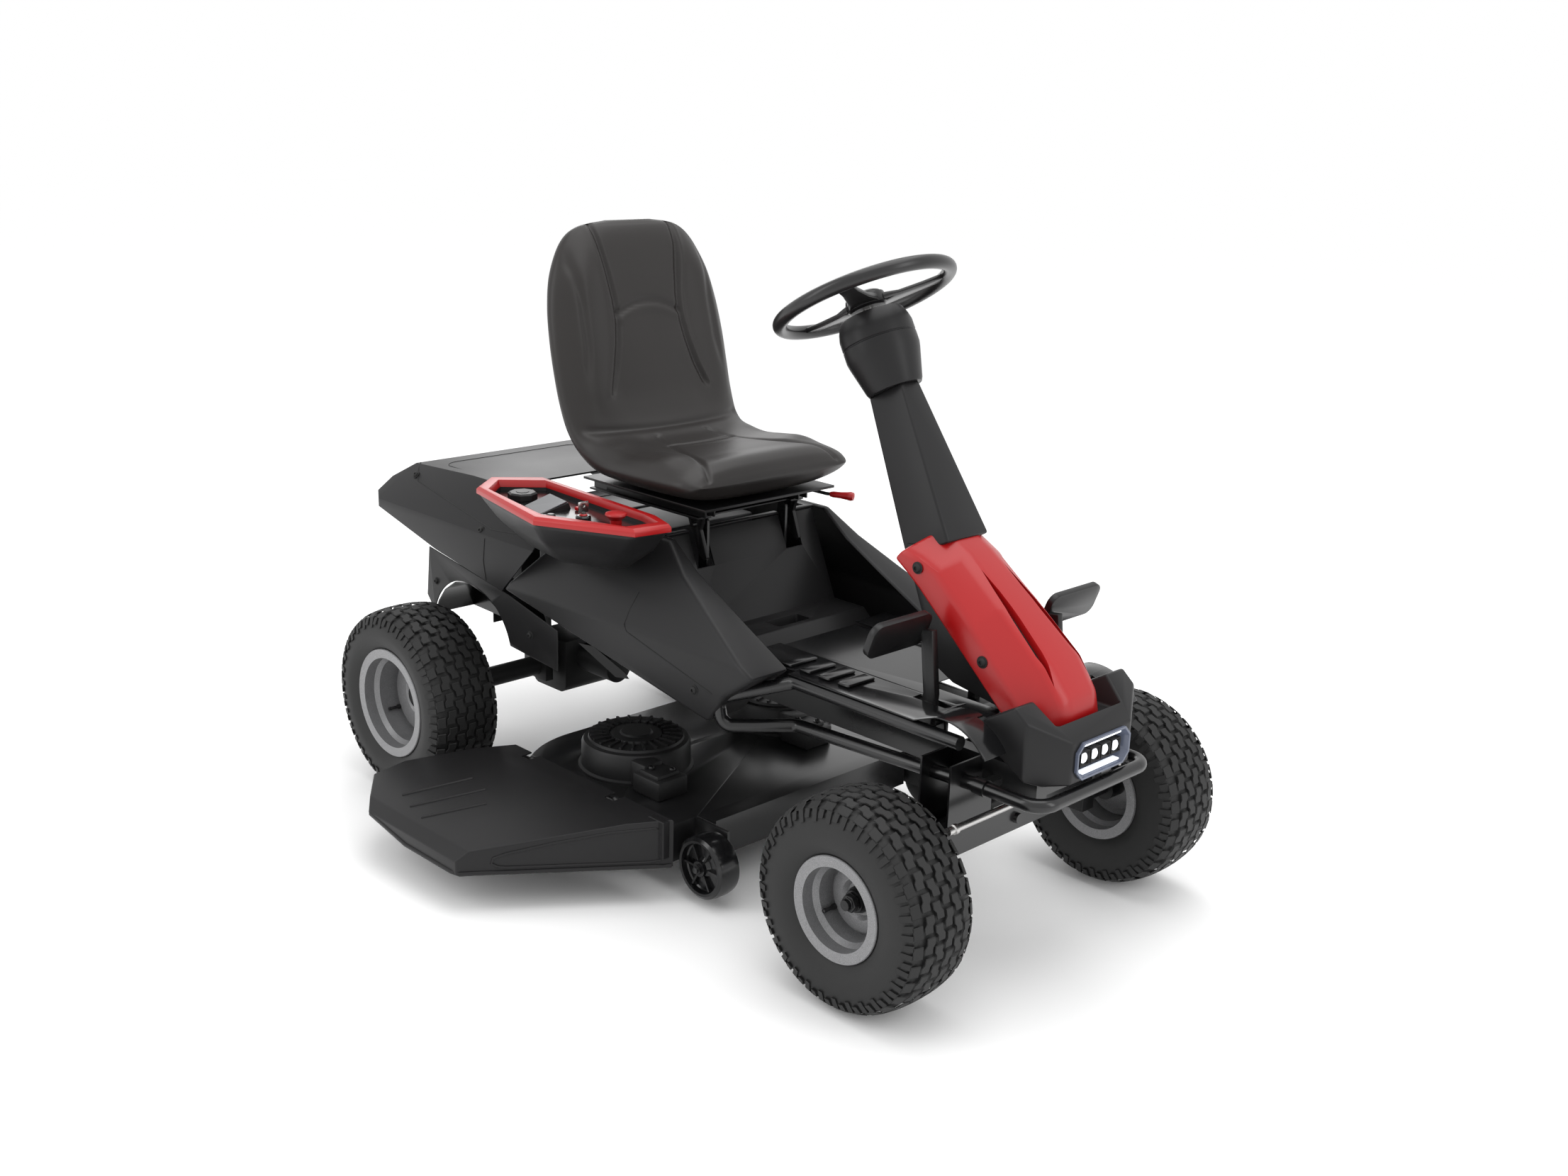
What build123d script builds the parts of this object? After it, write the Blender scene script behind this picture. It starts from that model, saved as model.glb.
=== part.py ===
"""Riding lawn mower, millimetres. +X forward, +Y left, +Z up, ground at Z = 0.

Every sub-part is drawn with X = 0 at the rear axle and Y = 0 on the centreline.
save() then moves it so that the origin is under the middle of the whole machine.
"""
from math import atan2, cos, radians, sin

import os
from build123d import *

os.makedirs("parts", exist_ok=True)

# ---- running gear -----------------------------------------------------------
wheelbase = 1250.0
front_half_track = 365.0
rear_half_track = 415.0
front_tyre_radius = 187.5
front_tyre_width = 158.0
front_flange_radius = 93.0
rear_tyre_radius = 200.0
rear_tyre_width = 160.0
rear_flange_radius = 117.0
flange_height = 15.0
rim_thickness = 3.0
running_clearance = 0.05
moving_gap = 0.6

# ---- front axle and steering --------------------------------------------------
kingpin_half_track = 250.0
kingpin_radius = 9.5
spindle_radius = 9.5
axle_pivot_z = 235.0
axle_boss_height = 56.0
steer_arm_reach = 70.0
steer_arm_spread = 12.0
tie_rod_z = 292.0
tie_rod_radius = 6.5
wheel_centre_x = 861.0
wheel_centre_z = 1112.0
column_tilt = 29.0
steering_ring_radius = 162.0
steering_grip_radius = 13.0
steering_shaft_radius = 9.5

# ---- frame ----------------------------------------------------------------------
rail_half_gauge = 95.0
rail_width = 30.0
rail_bottom = 335.0
rail_top = 385.0
tube_radius = 12.5
bumper_z = 350.0
bumper_x = 1444.0
bumper_half_width = 156.0
floor_z = 450.0
floor_inner_y = 106.0
floor_outer_y = 212.0
floor_rear_x = 780.0
floor_front_x = 1215.0
floor_bracket_x = (862.0, 1090.0)
sheet = 3.0
shell = 4.0

drive_pivot_x = 1168.0
brake_pivot_x = 1250.0
pedal_pivot_z = 408.0
pedal_pin_radius = 6.0
pedal_pad_z = 583.0
pedal_arm_y = 126.0
pedal_arm_half = 7.0

# ---- body -------------------------------------------------------------------------
tail_x = -351.0
body_half_width = 300.0
ridge_y = 204.0
deck_top_z = 645.0
nose_x = 1456.0
console_top_z = 682.0
console_bottom_z = 577.0
console_outline = [(128, -309), (182, -380), (455, -443), (640, -351), (652, -273), (588, -250), (191, -225)]
console_floor = [(262, -292), (300, -330), (420, -352), (524, -310), (530, -268), (494, -256), (290, -246)]

# ---- seat --------------------------------------------------------------------------
seat_half_width = 228.0
seat_top_z = 1202.0
hinge_x = 562.0
hinge_z = 650.0
hinge_half_gauge = 128.0
hinge_pin_radius = 5.0

# ---- cutting deck ----------------------------------------------------------------------
spindle_x = 475.0
spindle_half_gauge = 205.0
blade_radius = 199.0
deck_clearance = 20.0
deck_bottom_z = 62.0
deck_plate_z = 138.0
motor_radius = 112.0
motor_top_z = 208.0
chute_hinge_y = -384.0
chute_hinge_z = 158.0
chute_tip_y = -700.0
roller_radius = 62.0
roller_x = 826.0
roller_y = 322.0
roller_z = 76.0
deck_front_x = 790.0
deck_corner_x = 750.0
deck_front_half = 345.0

# ---- brake cable ----------------------------------------------------------------------------
cable_radius = 4.0
cable_points = [(1208, 118, 400), (1150, 118, 362), (200, 118, 362), (34, 118, 232)]

# ---- whole machine ------------------------------------------------------------------------
left_limit = rear_half_track + rear_tyre_width / 2
front_limit = max(nose_x, bumper_x + tube_radius)
centre_x = (tail_x + front_limit) / 2
centre_y = (left_limit + chute_tip_y) / 2


def save(builder, label):
    """Labels a finished sub-part, moves it over the machine's origin and writes it."""
    piece = builder.part.moved(Location((-centre_x, -centre_y, 0)))
    piece.label = label
    export_step(piece, f"parts/{label}.step")


def across(x, y, z):
    """A plane through the point with its normal along +X, local x along +Y and local y up."""
    return Plane(origin=(x, y, z), x_dir=(0, 1, 0), z_dir=(1, 0, 0))


def side(y):
    """A plane at the given Y with local x along +X and local y up; it extrudes towards -Y."""
    return Plane.XZ.offset(-y)


def block(x, y, z, mode=Mode.ADD):
    """A box given by its (low, high) limits along each axis."""
    middle = ((x[0] + x[1]) / 2, (y[0] + y[1]) / 2, (z[0] + z[1]) / 2)
    with Locations(middle):
        Box(x[1] - x[0], y[1] - y[0], z[1] - z[0], mode=mode)


def rod_along_x(x, y, z, radius, mode=Mode.ADD):
    with Locations(Location(((x[0] + x[1]) / 2, y, z), (0, 90, 0))):
        Cylinder(radius, x[1] - x[0], mode=mode)


def rod_along_y(x, y, z, radius, mode=Mode.ADD):
    with Locations(Location((x, (y[0] + y[1]) / 2, z), (90, 0, 0))):
        Cylinder(radius, abs(y[1] - y[0]), mode=mode)


def rod_along_z(x, y, z, radius, mode=Mode.ADD):
    with Locations((x, y, (z[0] + z[1]) / 2)):
        Cylinder(radius, z[1] - z[0], mode=mode)


def along_column(distance):
    """A plane across the steering axis, this far down from the middle of the steering wheel."""
    tilt = radians(column_tilt)
    point = (wheel_centre_x + distance * sin(tilt), 0, wheel_centre_z - distance * cos(tilt))
    return Plane(origin=point, x_dir=(cos(tilt), 0, sin(tilt)), z_dir=(-sin(tilt), 0, cos(tilt)))


# ---- wheels -----------------------------------------------------------------------------------
def tyre(x, y, radius, width, flange_radius):
    """A tyre as a ring of revolution, with square shoulders and beads inside the rim flanges."""
    bead = flange_radius - flange_height
    half = width / 2
    wall = half * 0.84
    shoulder = radius - 26
    waist = (bead + radius) / 2
    with BuildPart() as ring:
        with BuildSketch(across(x, y, radius)):
            with BuildLine():
                Line((-half * 0.78, bead), (half * 0.78, bead))
                Line((half * 0.78, bead), (wall, flange_radius))
                ThreePointArc((wall, flange_radius), (half, waist), (half * 0.92, shoulder))
                Line((half * 0.92, shoulder), (half * 0.78, radius - 6))
                ThreePointArc((half * 0.78, radius - 6), (0, radius), (-half * 0.78, radius - 6))
                Line((-half * 0.78, radius - 6), (-half * 0.92, shoulder))
                ThreePointArc((-half * 0.92, shoulder), (-half, waist), (-wall, flange_radius))
                Line((-wall, flange_radius), (-half * 0.78, bead))
            make_face()
        revolve(axis=Axis((x, y, radius), (0, 1, 0)))
    return ring


def rim_barrel(x, y, radius, width, flange_radius):
    """The rolled barrel of a rim with its two flanges, as a builder to add a disc and a hub to."""
    seat = flange_radius - flange_height - 0.5
    half = width * 0.42 + 0.3
    with BuildPart() as barrel:
        with BuildSketch(across(x, y, radius)):
            with BuildLine():
                Polyline((-half, seat), (half, seat), (half, flange_radius), (half + 5, flange_radius),
                         (half + 5, seat - rim_thickness), (-half - 5, seat - rim_thickness),
                         (-half - 5, flange_radius), (-half, flange_radius), close=True)
            make_face()
        revolve(axis=Axis((x, y, radius), (0, 1, 0)))
    return barrel


front_hub_length = 64.0
front_disc_inset = 8.0
rear_disc_inset = 22.0
disc_thickness = 4.0
axle_shaft_radius = 9.5
axle_tube_radius = 22.0
axle_tube_end = 326.0
stub_length = 50.0
lug_circle_radius = 38.0
for name, hand in (("right", -1), ("left", 1)):
    front_y = hand * front_half_track
    save(tyre(wheelbase, front_y, front_tyre_radius, front_tyre_width, front_flange_radius),
         f"front_tyre_{name}")
    disc_y = front_y - hand * front_disc_inset
    disc_radius = front_flange_radius - flange_height - 1
    with BuildPart() as front_rim:
        add(rim_barrel(wheelbase, front_y, front_tyre_radius, front_tyre_width, front_flange_radius).part)
        disc = (disc_y - disc_thickness / 2, disc_y + disc_thickness / 2)
        rod_along_y(wheelbase, disc, front_tyre_radius, disc_radius)
        hub = (disc_y - front_hub_length / 2, disc_y + front_hub_length / 2)
        rod_along_y(wheelbase, hub, front_tyre_radius, 22)
        rod_along_y(wheelbase, (hub[0] - 1, hub[1] + 1), front_tyre_radius,
                    spindle_radius + running_clearance,
                    Mode.SUBTRACT)
    save(front_rim, f"front_rim_{name}")

    rear_y = hand * rear_half_track
    save(tyre(0, rear_y, rear_tyre_radius, rear_tyre_width, rear_flange_radius), f"rear_tyre_{name}")
    disc_y = rear_y - hand * rear_disc_inset
    disc_radius = rear_flange_radius - flange_height - 1
    with BuildPart() as rear_rim:
        add(rim_barrel(0, rear_y, rear_tyre_radius, rear_tyre_width, rear_flange_radius).part)
        disc = (disc_y - disc_thickness / 2, disc_y + disc_thickness / 2)
        rod_along_y(0, disc, rear_tyre_radius, disc_radius)
        rod_along_y(0, (hand * (axle_tube_end + 1.5), disc_y + hand * 14), rear_tyre_radius, 28)
        rod_along_y(0, (hand * (axle_tube_end - stub_length), disc_y), rear_tyre_radius, axle_shaft_radius)
        for lug in range(5):
            angle = 2 * 3.14159265 * lug / 5
            lug_x = lug_circle_radius * sin(angle)
            lug_z = rear_tyre_radius + lug_circle_radius * cos(angle)
            rod_along_y(lug_x, (disc_y, disc_y + hand * 12), lug_z, 8)
    save(rear_rim, f"rear_rim_{name}")

# ---- front axle ----------------------------------------------------------------------------------
boss_bottom = axle_pivot_z - axle_boss_height / 2 + 4
boss_top = boss_bottom + axle_boss_height
pivot_radius = 10.0
with BuildPart() as axle_beam:
    half_depth = 22
    block((wheelbase - half_depth, wheelbase + half_depth),
          (12 - kingpin_half_track, kingpin_half_track - 12),
          (axle_pivot_z - half_depth, axle_pivot_z + half_depth))
    for hand in (-1, 1):
        rod_along_z(wheelbase, hand * kingpin_half_track, (boss_bottom, boss_top), 18)
        rod_along_z(wheelbase, hand * kingpin_half_track, (boss_bottom - 1, boss_top + 1),
                    kingpin_radius + running_clearance, Mode.SUBTRACT)
    rod_along_x((wheelbase - 30, wheelbase + 30), 0, axle_pivot_z, pivot_radius + running_clearance,
                Mode.SUBTRACT)
save(axle_beam, "axle_beam")

arm_bottom = boss_top + moving_gap
arm_top = arm_bottom + 8
rod_pin_x = wheelbase + steer_arm_reach
yoke_top = boss_bottom - moving_gap
yoke_bottom = front_tyre_radius - 17
hub_face = front_half_track - front_disc_inset + front_hub_length / 2
for name, hand in (("right", -1), ("left", 1)):
    kingpin_y = hand * kingpin_half_track
    rod_pin_y = hand * (kingpin_half_track + steer_arm_spread)
    with BuildPart() as knuckle:
        rod_along_z(wheelbase, kingpin_y, (yoke_bottom, arm_top), kingpin_radius)
        block((wheelbase - 18, wheelbase + 18), (kingpin_y - 18, kingpin_y + 18), (yoke_bottom, yoke_top))
        rod_along_y(wheelbase, (kingpin_y, hand * (hub_face + 22)), front_tyre_radius, spindle_radius)
        with BuildSketch(Plane.XY.offset(arm_bottom)):
            with BuildLine():
                Line((wheelbase, kingpin_y), (rod_pin_x, rod_pin_y))
            trace(line_width=22)
            with Locations((wheelbase, kingpin_y)):
                Circle(17)
            with Locations((rod_pin_x, rod_pin_y)):
                Circle(13)
        extrude(amount=arm_top - arm_bottom)
        with BuildSketch(side(hand * (hub_face + moving_gap))):
            with Locations((wheelbase, front_tyre_radius)):
                RegularPolygon(16, 6)
        extrude(amount=-hand * 12)
    save(knuckle, f"knuckle_{name}")

    with BuildPart() as tie_rod:
        rod_along_y(rod_pin_x, (hand * steer_arm_spread, rod_pin_y), tie_rod_z, tie_rod_radius)
        for end_y in (hand * steer_arm_spread, rod_pin_y):
            rod_along_z(rod_pin_x, end_y, (tie_rod_z - 9, tie_rod_z + 9), 10.5)
        rod_along_z(rod_pin_x, rod_pin_y, (arm_top, tie_rod_z), 5)
    save(tie_rod, f"tie_rod_{name}")

pitman_bottom = tie_rod_z + 13
pitman_post_top = 394.0
with BuildPart() as pitman_arm:
    with BuildSketch(Plane.XY.offset(pitman_bottom)):
        with Locations((wheelbase + steer_arm_reach / 2, 0)):
            Rectangle(steer_arm_reach, 30)
        with Locations((wheelbase, 0)):
            Circle(20)
        with Locations((rod_pin_x, steer_arm_spread), (rod_pin_x, -steer_arm_spread)):
            Circle(13)
    extrude(amount=8)
    rod_along_z(wheelbase, 0, (pitman_bottom, pitman_post_top), 10)
save(pitman_arm, "pitman_arm")

# ---- steering wheel and column -------------------------------------------------------------------
spoke_length = steering_ring_radius - 6
with BuildPart() as steering_wheel:
    with Locations(along_column(0).location):
        Torus(steering_ring_radius, steering_grip_radius)
    with BuildSketch(along_column(22)):
        Circle(36)
    extrude(amount=30, taper=6)
    with BuildSketch(along_column(6)):
        with PolarLocations(spoke_length / 2, 3, start_angle=180):
            Rectangle(spoke_length, 36)
    extrude(amount=10)
save(steering_wheel, "steering_wheel")

shaft_length = 776.0
with BuildPart() as steering_shaft:
    with BuildSketch(along_column(22)):
        Circle(steering_shaft_radius)
    extrude(amount=-shaft_length)
save(steering_shaft, "steering_shaft")

collar_top = 34.0
collar_bottom = 176.0
column_end = 438.0
with BuildPart() as column_collar:
    for distance, radius in ((collar_top, 60), (60, 69), (108, 69), (collar_bottom, 50)):
        with BuildSketch(along_column(distance)):
            Circle(radius)
    loft(ruled=True)
    with BuildSketch(along_column(collar_top)):
        Circle(steering_shaft_radius + running_clearance)
    extrude(amount=-(collar_bottom - collar_top), mode=Mode.SUBTRACT)
save(column_collar, "column_collar")


def column_outline(front_half, rear_half, depth):
    """The corners of the column's section: a narrow front face, wider at the rider's side."""
    return [(depth / 2, -front_half), (depth / 2, front_half), (-depth / 2, rear_half),
            (-depth / 2, -rear_half)]


with BuildPart() as steering_column:
    with BuildSketch(along_column(collar_bottom)):
        Polygon(*column_outline(24, 34, 76), align=None)
    with BuildSketch(along_column(column_end)):
        Polygon(*column_outline(53, 60, 98), align=None)
    loft(ruled=True)
    with BuildSketch(along_column(collar_bottom)):
        Polygon(*column_outline(24 - shell, 34 - shell, 76 - 2 * shell), align=None)
    with BuildSketch(along_column(column_end)):
        Polygon(*column_outline(53 - shell, 60 - shell, 98 - 2 * shell), align=None)
    loft(ruled=True, mode=Mode.SUBTRACT)
save(steering_column, "steering_column")

# ---- column base, hood, nose mask, headlight -----------------------------------------------------
hood_top = (1066.0, 690.0)
hood_foot = (1352.0, 424.0)
hood_slope = atan2(hood_top[1] - hood_foot[1], hood_foot[0] - hood_top[0])
base_half = 64.0
base_rear = [(1044, 702), (1058, 661), (1094, 578), (1130, 494), (1170, 474), (1300, floor_z + 4)]
with BuildPart() as column_base:
    with BuildSketch(side(base_half)):
        Polygon(*base_rear, (hood_foot[0] - 6, hood_foot[1] + 6), hood_top, (1080, 708), align=None)
    extrude(amount=2 * base_half)
    with BuildSketch(side(base_half - shell)):
        Polygon(*[(x + shell, z + shell) for x, z in base_rear], (1400, floor_z + 8), (1400, 800),
                (1030, 800),
                align=None)
    extrude(amount=2 * (base_half - shell), mode=Mode.SUBTRACT)
    block((1170, 1400), (-36, 36), (400, 500), Mode.SUBTRACT)
save(column_base, "column_base")


def hood_plane(distance):
    """A plane across the hood, this far down its slope; local x is +Y and local y points out of the hood."""
    point = (hood_top[0] + distance * cos(hood_slope), 0, hood_top[1] - distance * sin(hood_slope))
    return Plane(origin=point, x_dir=(0, 1, 0), z_dir=(cos(hood_slope), 0, -sin(hood_slope)))


def hood_outline(half_width, shoulder, crest, crest_half, inset=0.0):
    """The hood's outline across its slope: flat sides, a shoulder ridge and a raised middle."""
    wide = half_width - inset
    narrow = crest_half - inset / 2
    base = 2 if inset == 0 else -20
    return [(-wide, base), (wide, base), (wide, shoulder - inset), (narrow, crest - inset),
            (-narrow, crest - inset), (-wide, shoulder - inset)]


hood_stations = [(-6, 104, 20, 56, 52), (64, 93, 47, 75, 46), (180, 90, 46, 88, 50), (306, 88, 38, 96, 54),
                 (392, 66, 24, 57, 42)]
with BuildPart() as hood:
    for distance, *outline in hood_stations:
        with BuildSketch(hood_plane(distance)):
            Polygon(*hood_outline(*outline), align=None)
    loft(ruled=True)
    for distance, *outline in hood_stations:
        with BuildSketch(hood_plane(distance)):
            Polygon(*hood_outline(*outline, inset=shell), align=None)
    loft(ruled=True, mode=Mode.SUBTRACT)
save(hood, "hood")

mask_half = 156.0
mask_bottom = 368.0
mask_top = 508.0
lens_z = 412.0
lens_half = 76.0
lens_half_height = 33.0
mask_face_x = nose_x - 8


def mask_outline(inset):
    """The nose mask seen from above: flat front, swept cheeks, open at the back."""
    return [(mask_face_x - inset, -84 + inset / 2), (mask_face_x - inset, 84 - inset / 2),
            (1402, mask_half - inset), (1312, mask_half + 2 - inset), (1312, -mask_half - 2 + inset),
            (1402, -mask_half + inset)]


with BuildPart() as nose_mask:
    with BuildSketch(Plane.XY.offset(mask_bottom)):
        Polygon(*mask_outline(0), align=None)
    extrude(amount=mask_top - mask_bottom)
    with BuildSketch(Plane.XY.offset(mask_bottom - 1)):
        Polygon(*mask_outline(shell)[:3], (1300, mask_half + 2 - shell), (1300, shell - mask_half - 2),
                mask_outline(shell)[5], align=None)
    extrude(amount=mask_top - mask_bottom + 2, mode=Mode.SUBTRACT)
    with BuildSketch(side(mask_half + 20)):
        Polygon((1300, 372), (1300, 360), (1470, 360), (1470, 372), (1420, 372), (1312, 436),
                (1300, 436), align=None)
        Polygon((1300, 520), (1300, 462), (1312, 468), (1376, 509), (1460, 448), (1470, 448), (1470, 520),
                align=None)
    extrude(amount=2 * mask_half + 40, mode=Mode.SUBTRACT)
    block((1300, 1470), (-92, 92), (462, 520), Mode.SUBTRACT)
    with BuildSketch(across(mask_face_x - 20, 0, lens_z)):
        RectangleRounded(2 * lens_half + 4, 2 * lens_half_height + 4, 16)
    extrude(amount=40, mode=Mode.SUBTRACT)
    block((1404, mask_face_x - shell), (-60, 60), (mask_bottom, mask_bottom + shell))
save(nose_mask, "nose_mask")

with BuildPart() as headlight_lens:
    with BuildSketch(across(mask_face_x - 2, 0, lens_z)):
        Rectangle(2 * lens_half, 2 * lens_half_height)
    extrude(amount=nose_x - mask_face_x + 2)
    chamfer(headlight_lens.edges().filter_by(Axis.X), 16)

led_pitch = 27.0
with BuildPart() as headlight:
    add(headlight_lens.part)
    block((mask_face_x - 34, mask_face_x - 30), (-lens_half + 4, lens_half - 4),
          (lens_z - lens_half_height + 4, lens_z + lens_half_height - 4))
    for count in range(4):
        led_y = (count - 1.5) * led_pitch
        block((mask_face_x - 30, mask_face_x - 8), (led_y - 10, led_y + 10), (lens_z - 12, lens_z + 12))
save(headlight, "headlight")

# ---- frame ---------------------------------------------------------------------------------------
gearbox_top = 438.0
lift_shaft_x = 352.0
lift_shaft_z = 318.0
lift_shaft_radius = 8.0
hinge_ear_y = 108.0
plate_gap = 60.0
plate_half_width = 196.0
rail_rear_x = -150.0
rail_front_x = 1400.0
with BuildPart() as frame:
    for hand in (-1, 1):
        rail_y = hand * rail_half_gauge
        block((rail_rear_x, rail_front_x), (rail_y - rail_width / 2, rail_y + rail_width / 2),
              (rail_bottom, rail_top))
        block((-45, 45), (rail_y - 3, rail_y + 3), (rear_tyre_radius + axle_tube_radius, rail_bottom))
    for cross_x in (rail_rear_x + 15, 240, 840, 1385):
        block((cross_x - 15, cross_x + 15), (-rail_half_gauge, rail_half_gauge),
              (rail_bottom + 5, rail_top - 5))
    for plate_x in (wheelbase - plate_gap / 2 - 4, wheelbase + plate_gap / 2):
        block((plate_x, plate_x + 4), (-plate_half_width, plate_half_width), (212, rail_top))
        block((plate_x - 1, plate_x + 5), (-78, 78), (270, 334), Mode.SUBTRACT)
    rod_along_x((wheelbase - plate_gap / 2 - 8, wheelbase + plate_gap / 2 + 12), 0, axle_pivot_z,
                pivot_radius)
    block((wheelbase - 28, wheelbase + 28), (-rail_half_gauge, rail_half_gauge),
          (rail_top - 22, rail_top - 10))
    rod_along_z(wheelbase, 0, (rail_top - 23, rail_top), 10 + running_clearance, Mode.SUBTRACT)
    for hand in (-1, 1):
        for bracket_x in floor_bracket_x:
            block((bracket_x - 10, bracket_x + 10), (hand * 150 - 50, hand * 150 + 50),
                  (floor_z - 22, floor_z - 2))
            block((bracket_x - 10, bracket_x + 10), (hand * 104 - 6, hand * 104 + 6),
                  (rail_top - 4, floor_z - 22))
    block((wheelbase - 35, wheelbase + 35), (-32, 32), (rail_top - 10, gearbox_top))
    rod_along_z(wheelbase, 0, (rail_top - 24, pitman_post_top + 1), 10 + running_clearance, Mode.SUBTRACT)
    with BuildSketch(along_column(640)):
        Circle(steering_shaft_radius + running_clearance)
    extrude(amount=-(22 + shaft_length + 1 - 640), mode=Mode.SUBTRACT)
    for hand, pivot_x in ((-1, drive_pivot_x), (1, brake_pivot_x)):
        inner = hand * (rail_half_gauge - 6)
        outer = hand * (pedal_arm_y + 16)
        rod_along_y(pivot_x, (inner, outer), pedal_pivot_z, pedal_pin_radius)
        block((pivot_x - 14, pivot_x + 14), (inner - 6, inner + 6), (rail_top, pedal_pivot_z + 14))
    for hand in (-1, 1):
        ear_y = hand * hinge_ear_y
        block((hinge_x - 12, hinge_x + 12), (ear_y - 3, ear_y + 3), (rail_top - 4, hinge_z))
        rod_along_y(hinge_x, (ear_y - 3, ear_y + 3), hinge_z, 12)
        block((hinge_x - 30, hinge_x + 30), (hand * 102 - 10, hand * 102 + 10), (rail_top - 4, rail_top + 6))
        rod_along_y(hinge_x, (ear_y, hand * 142), hinge_z, hinge_pin_radius)
        block((lift_shaft_x - 14, lift_shaft_x + 14),
              (hand * rail_half_gauge - 6, hand * rail_half_gauge + 6),
              (lift_shaft_z - 14, rail_bottom + 2))
        rod_along_y(lift_shaft_x, (hand * rail_half_gauge - 8, hand * rail_half_gauge + 8), lift_shaft_z,
                    lift_shaft_radius + running_clearance, Mode.SUBTRACT)
    block((hinge_x - 18, hinge_x - 8), (-hinge_ear_y, hinge_ear_y), (600, 618))
    block((60, 456), (-166, 166), (rail_top - 2, rail_top + 12))
    block((66, 450), (-160, 160), (rail_top + 1, rail_top + 13), Mode.SUBTRACT)
save(frame, "frame")

rail_tube_front = 1322.0
with BuildPart() as front_bumper:
    with BuildLine() as bumper_path:
        FilletPolyline((rail_tube_front, -bumper_half_width, bumper_z),
                       (bumper_x, -bumper_half_width, bumper_z),
                       (bumper_x, bumper_half_width, bumper_z),
                       (rail_tube_front, bumper_half_width, bumper_z),
                       radius=34)
    with BuildSketch(across(rail_tube_front, -bumper_half_width, bumper_z)):
        Circle(tube_radius)
    sweep()
    for hand in (-1, 1):
        rod_along_x((rail_tube_front - 14, rail_tube_front + 10), hand * bumper_half_width, bumper_z,
                    tube_radius + 3)
        block((rail_tube_front - 14, rail_tube_front + 6),
              (hand * 133 - 23, hand * 133 + 23), (bumper_z - 6, bumper_z + 6))
save(front_bumper, "front_bumper")

step_z = floor_z - 9
step_points = [(rail_tube_front - 15, -bumper_half_width, bumper_z), (905, -182, 344), (806, -278, 338),
               (798, -282, 392), (925, -floor_outer_y, step_z), (1312, -floor_outer_y, step_z)]
with BuildPart() as side_rail:
    with BuildLine() as step_path:
        FilletPolyline(*step_points, radius=24)
    with BuildSketch(Plane(step_path.line @ 0, z_dir=step_path.line % 0)):
        Circle(tube_radius)
    sweep()
with BuildPart() as side_rails:
    add(side_rail.part)
    mirror(side_rail.part, about=Plane.XZ)
save(side_rails, "side_rails")

# ---- floor ---------------------------------------------------------------------------------------
slot_half = pedal_arm_half + 4
slot_before = 26.0
slot_after = 54.0
with BuildPart() as footrest:
    with BuildSketch(side(-floor_inner_y)):
        with BuildLine():
            Polyline((floor_rear_x, floor_z + 4), (floor_rear_x, floor_z + 4 + sheet),
                     (floor_front_x, floor_z + 4 + sheet), (1262, floor_z + 22 + sheet))
            ThreePointArc((1262, floor_z + 22 + sheet), (1330, floor_z + 16), (1372, floor_z - 20))
            Line((1372, floor_z - 20), (1372 - sheet, floor_z - 22))
            ThreePointArc((1372 - sheet, floor_z - 22), (1328, floor_z + 12), (1262, floor_z + 22))
            Polyline((1262, floor_z + 22), (floor_front_x, floor_z + 4), (floor_rear_x, floor_z + 4))
        make_face()
    extrude(amount=floor_outer_y + 8 - floor_inner_y)
    block((1236, 1400), (-floor_inner_y - 42, -floor_inner_y + 1), (floor_z - 40, floor_z + 60),
          Mode.SUBTRACT)
    block((1306, 1400), (-floor_inner_y - 58, -floor_inner_y + 1), (floor_z - 40, floor_z + 60),
          Mode.SUBTRACT)
    block((floor_rear_x - 5, 915), (-floor_outer_y - 20, 2 - ridge_y), (floor_z - 40, floor_z + 60),
          Mode.SUBTRACT)
with BuildPart() as footrests:
    add(footrest.part)
    mirror(footrest.part, about=Plane.XZ)
    for slot_y, pivot_x in ((-pedal_arm_y, drive_pivot_x), (pedal_arm_y, brake_pivot_x)):
        block((pivot_x - slot_before, pivot_x + slot_after), (slot_y - slot_half, slot_y + slot_half),
              (floor_z - 10, floor_z + 60), Mode.SUBTRACT)
save(footrests, "footrests")

pad_top = floor_z + 4 + sheet + 6
with BuildPart() as floor_pads:
    for hand in (-1, 1):
        for row in range(4):
            pad_x = 884 + 48 * row
            pad_y = hand * 160
            block((pad_x - 14, pad_x + 14), (pad_y - 36, pad_y + 36), (floor_z + 4 + sheet, pad_top))
save(floor_pads, "floor_pads")

with BuildPart() as floor_tunnel:
    with BuildSketch(side(floor_inner_y - 1)):
        Polygon((floor_rear_x, 418), (floor_rear_x, floor_z + 1), (1300, floor_z + 1), (1306, 418),
                align=None)
    extrude(amount=2 * (floor_inner_y - 1))
    offset(amount=-shell, openings=floor_tunnel.faces().sort_by(Axis.Z)[0])
    block((floor_rear_x - 5, floor_rear_x + 5), (-200, 200), (390, floor_z - 3), Mode.SUBTRACT)
    block((1110, 1290), (-56, 56), (floor_z - 10, floor_z + 5), Mode.SUBTRACT)
    for bracket_x in floor_bracket_x:
        block((bracket_x - 22, bracket_x + 22), (-floor_inner_y, floor_inner_y), (390, floor_z - 1),
              Mode.SUBTRACT)
save(floor_tunnel, "floor_tunnel")

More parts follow.
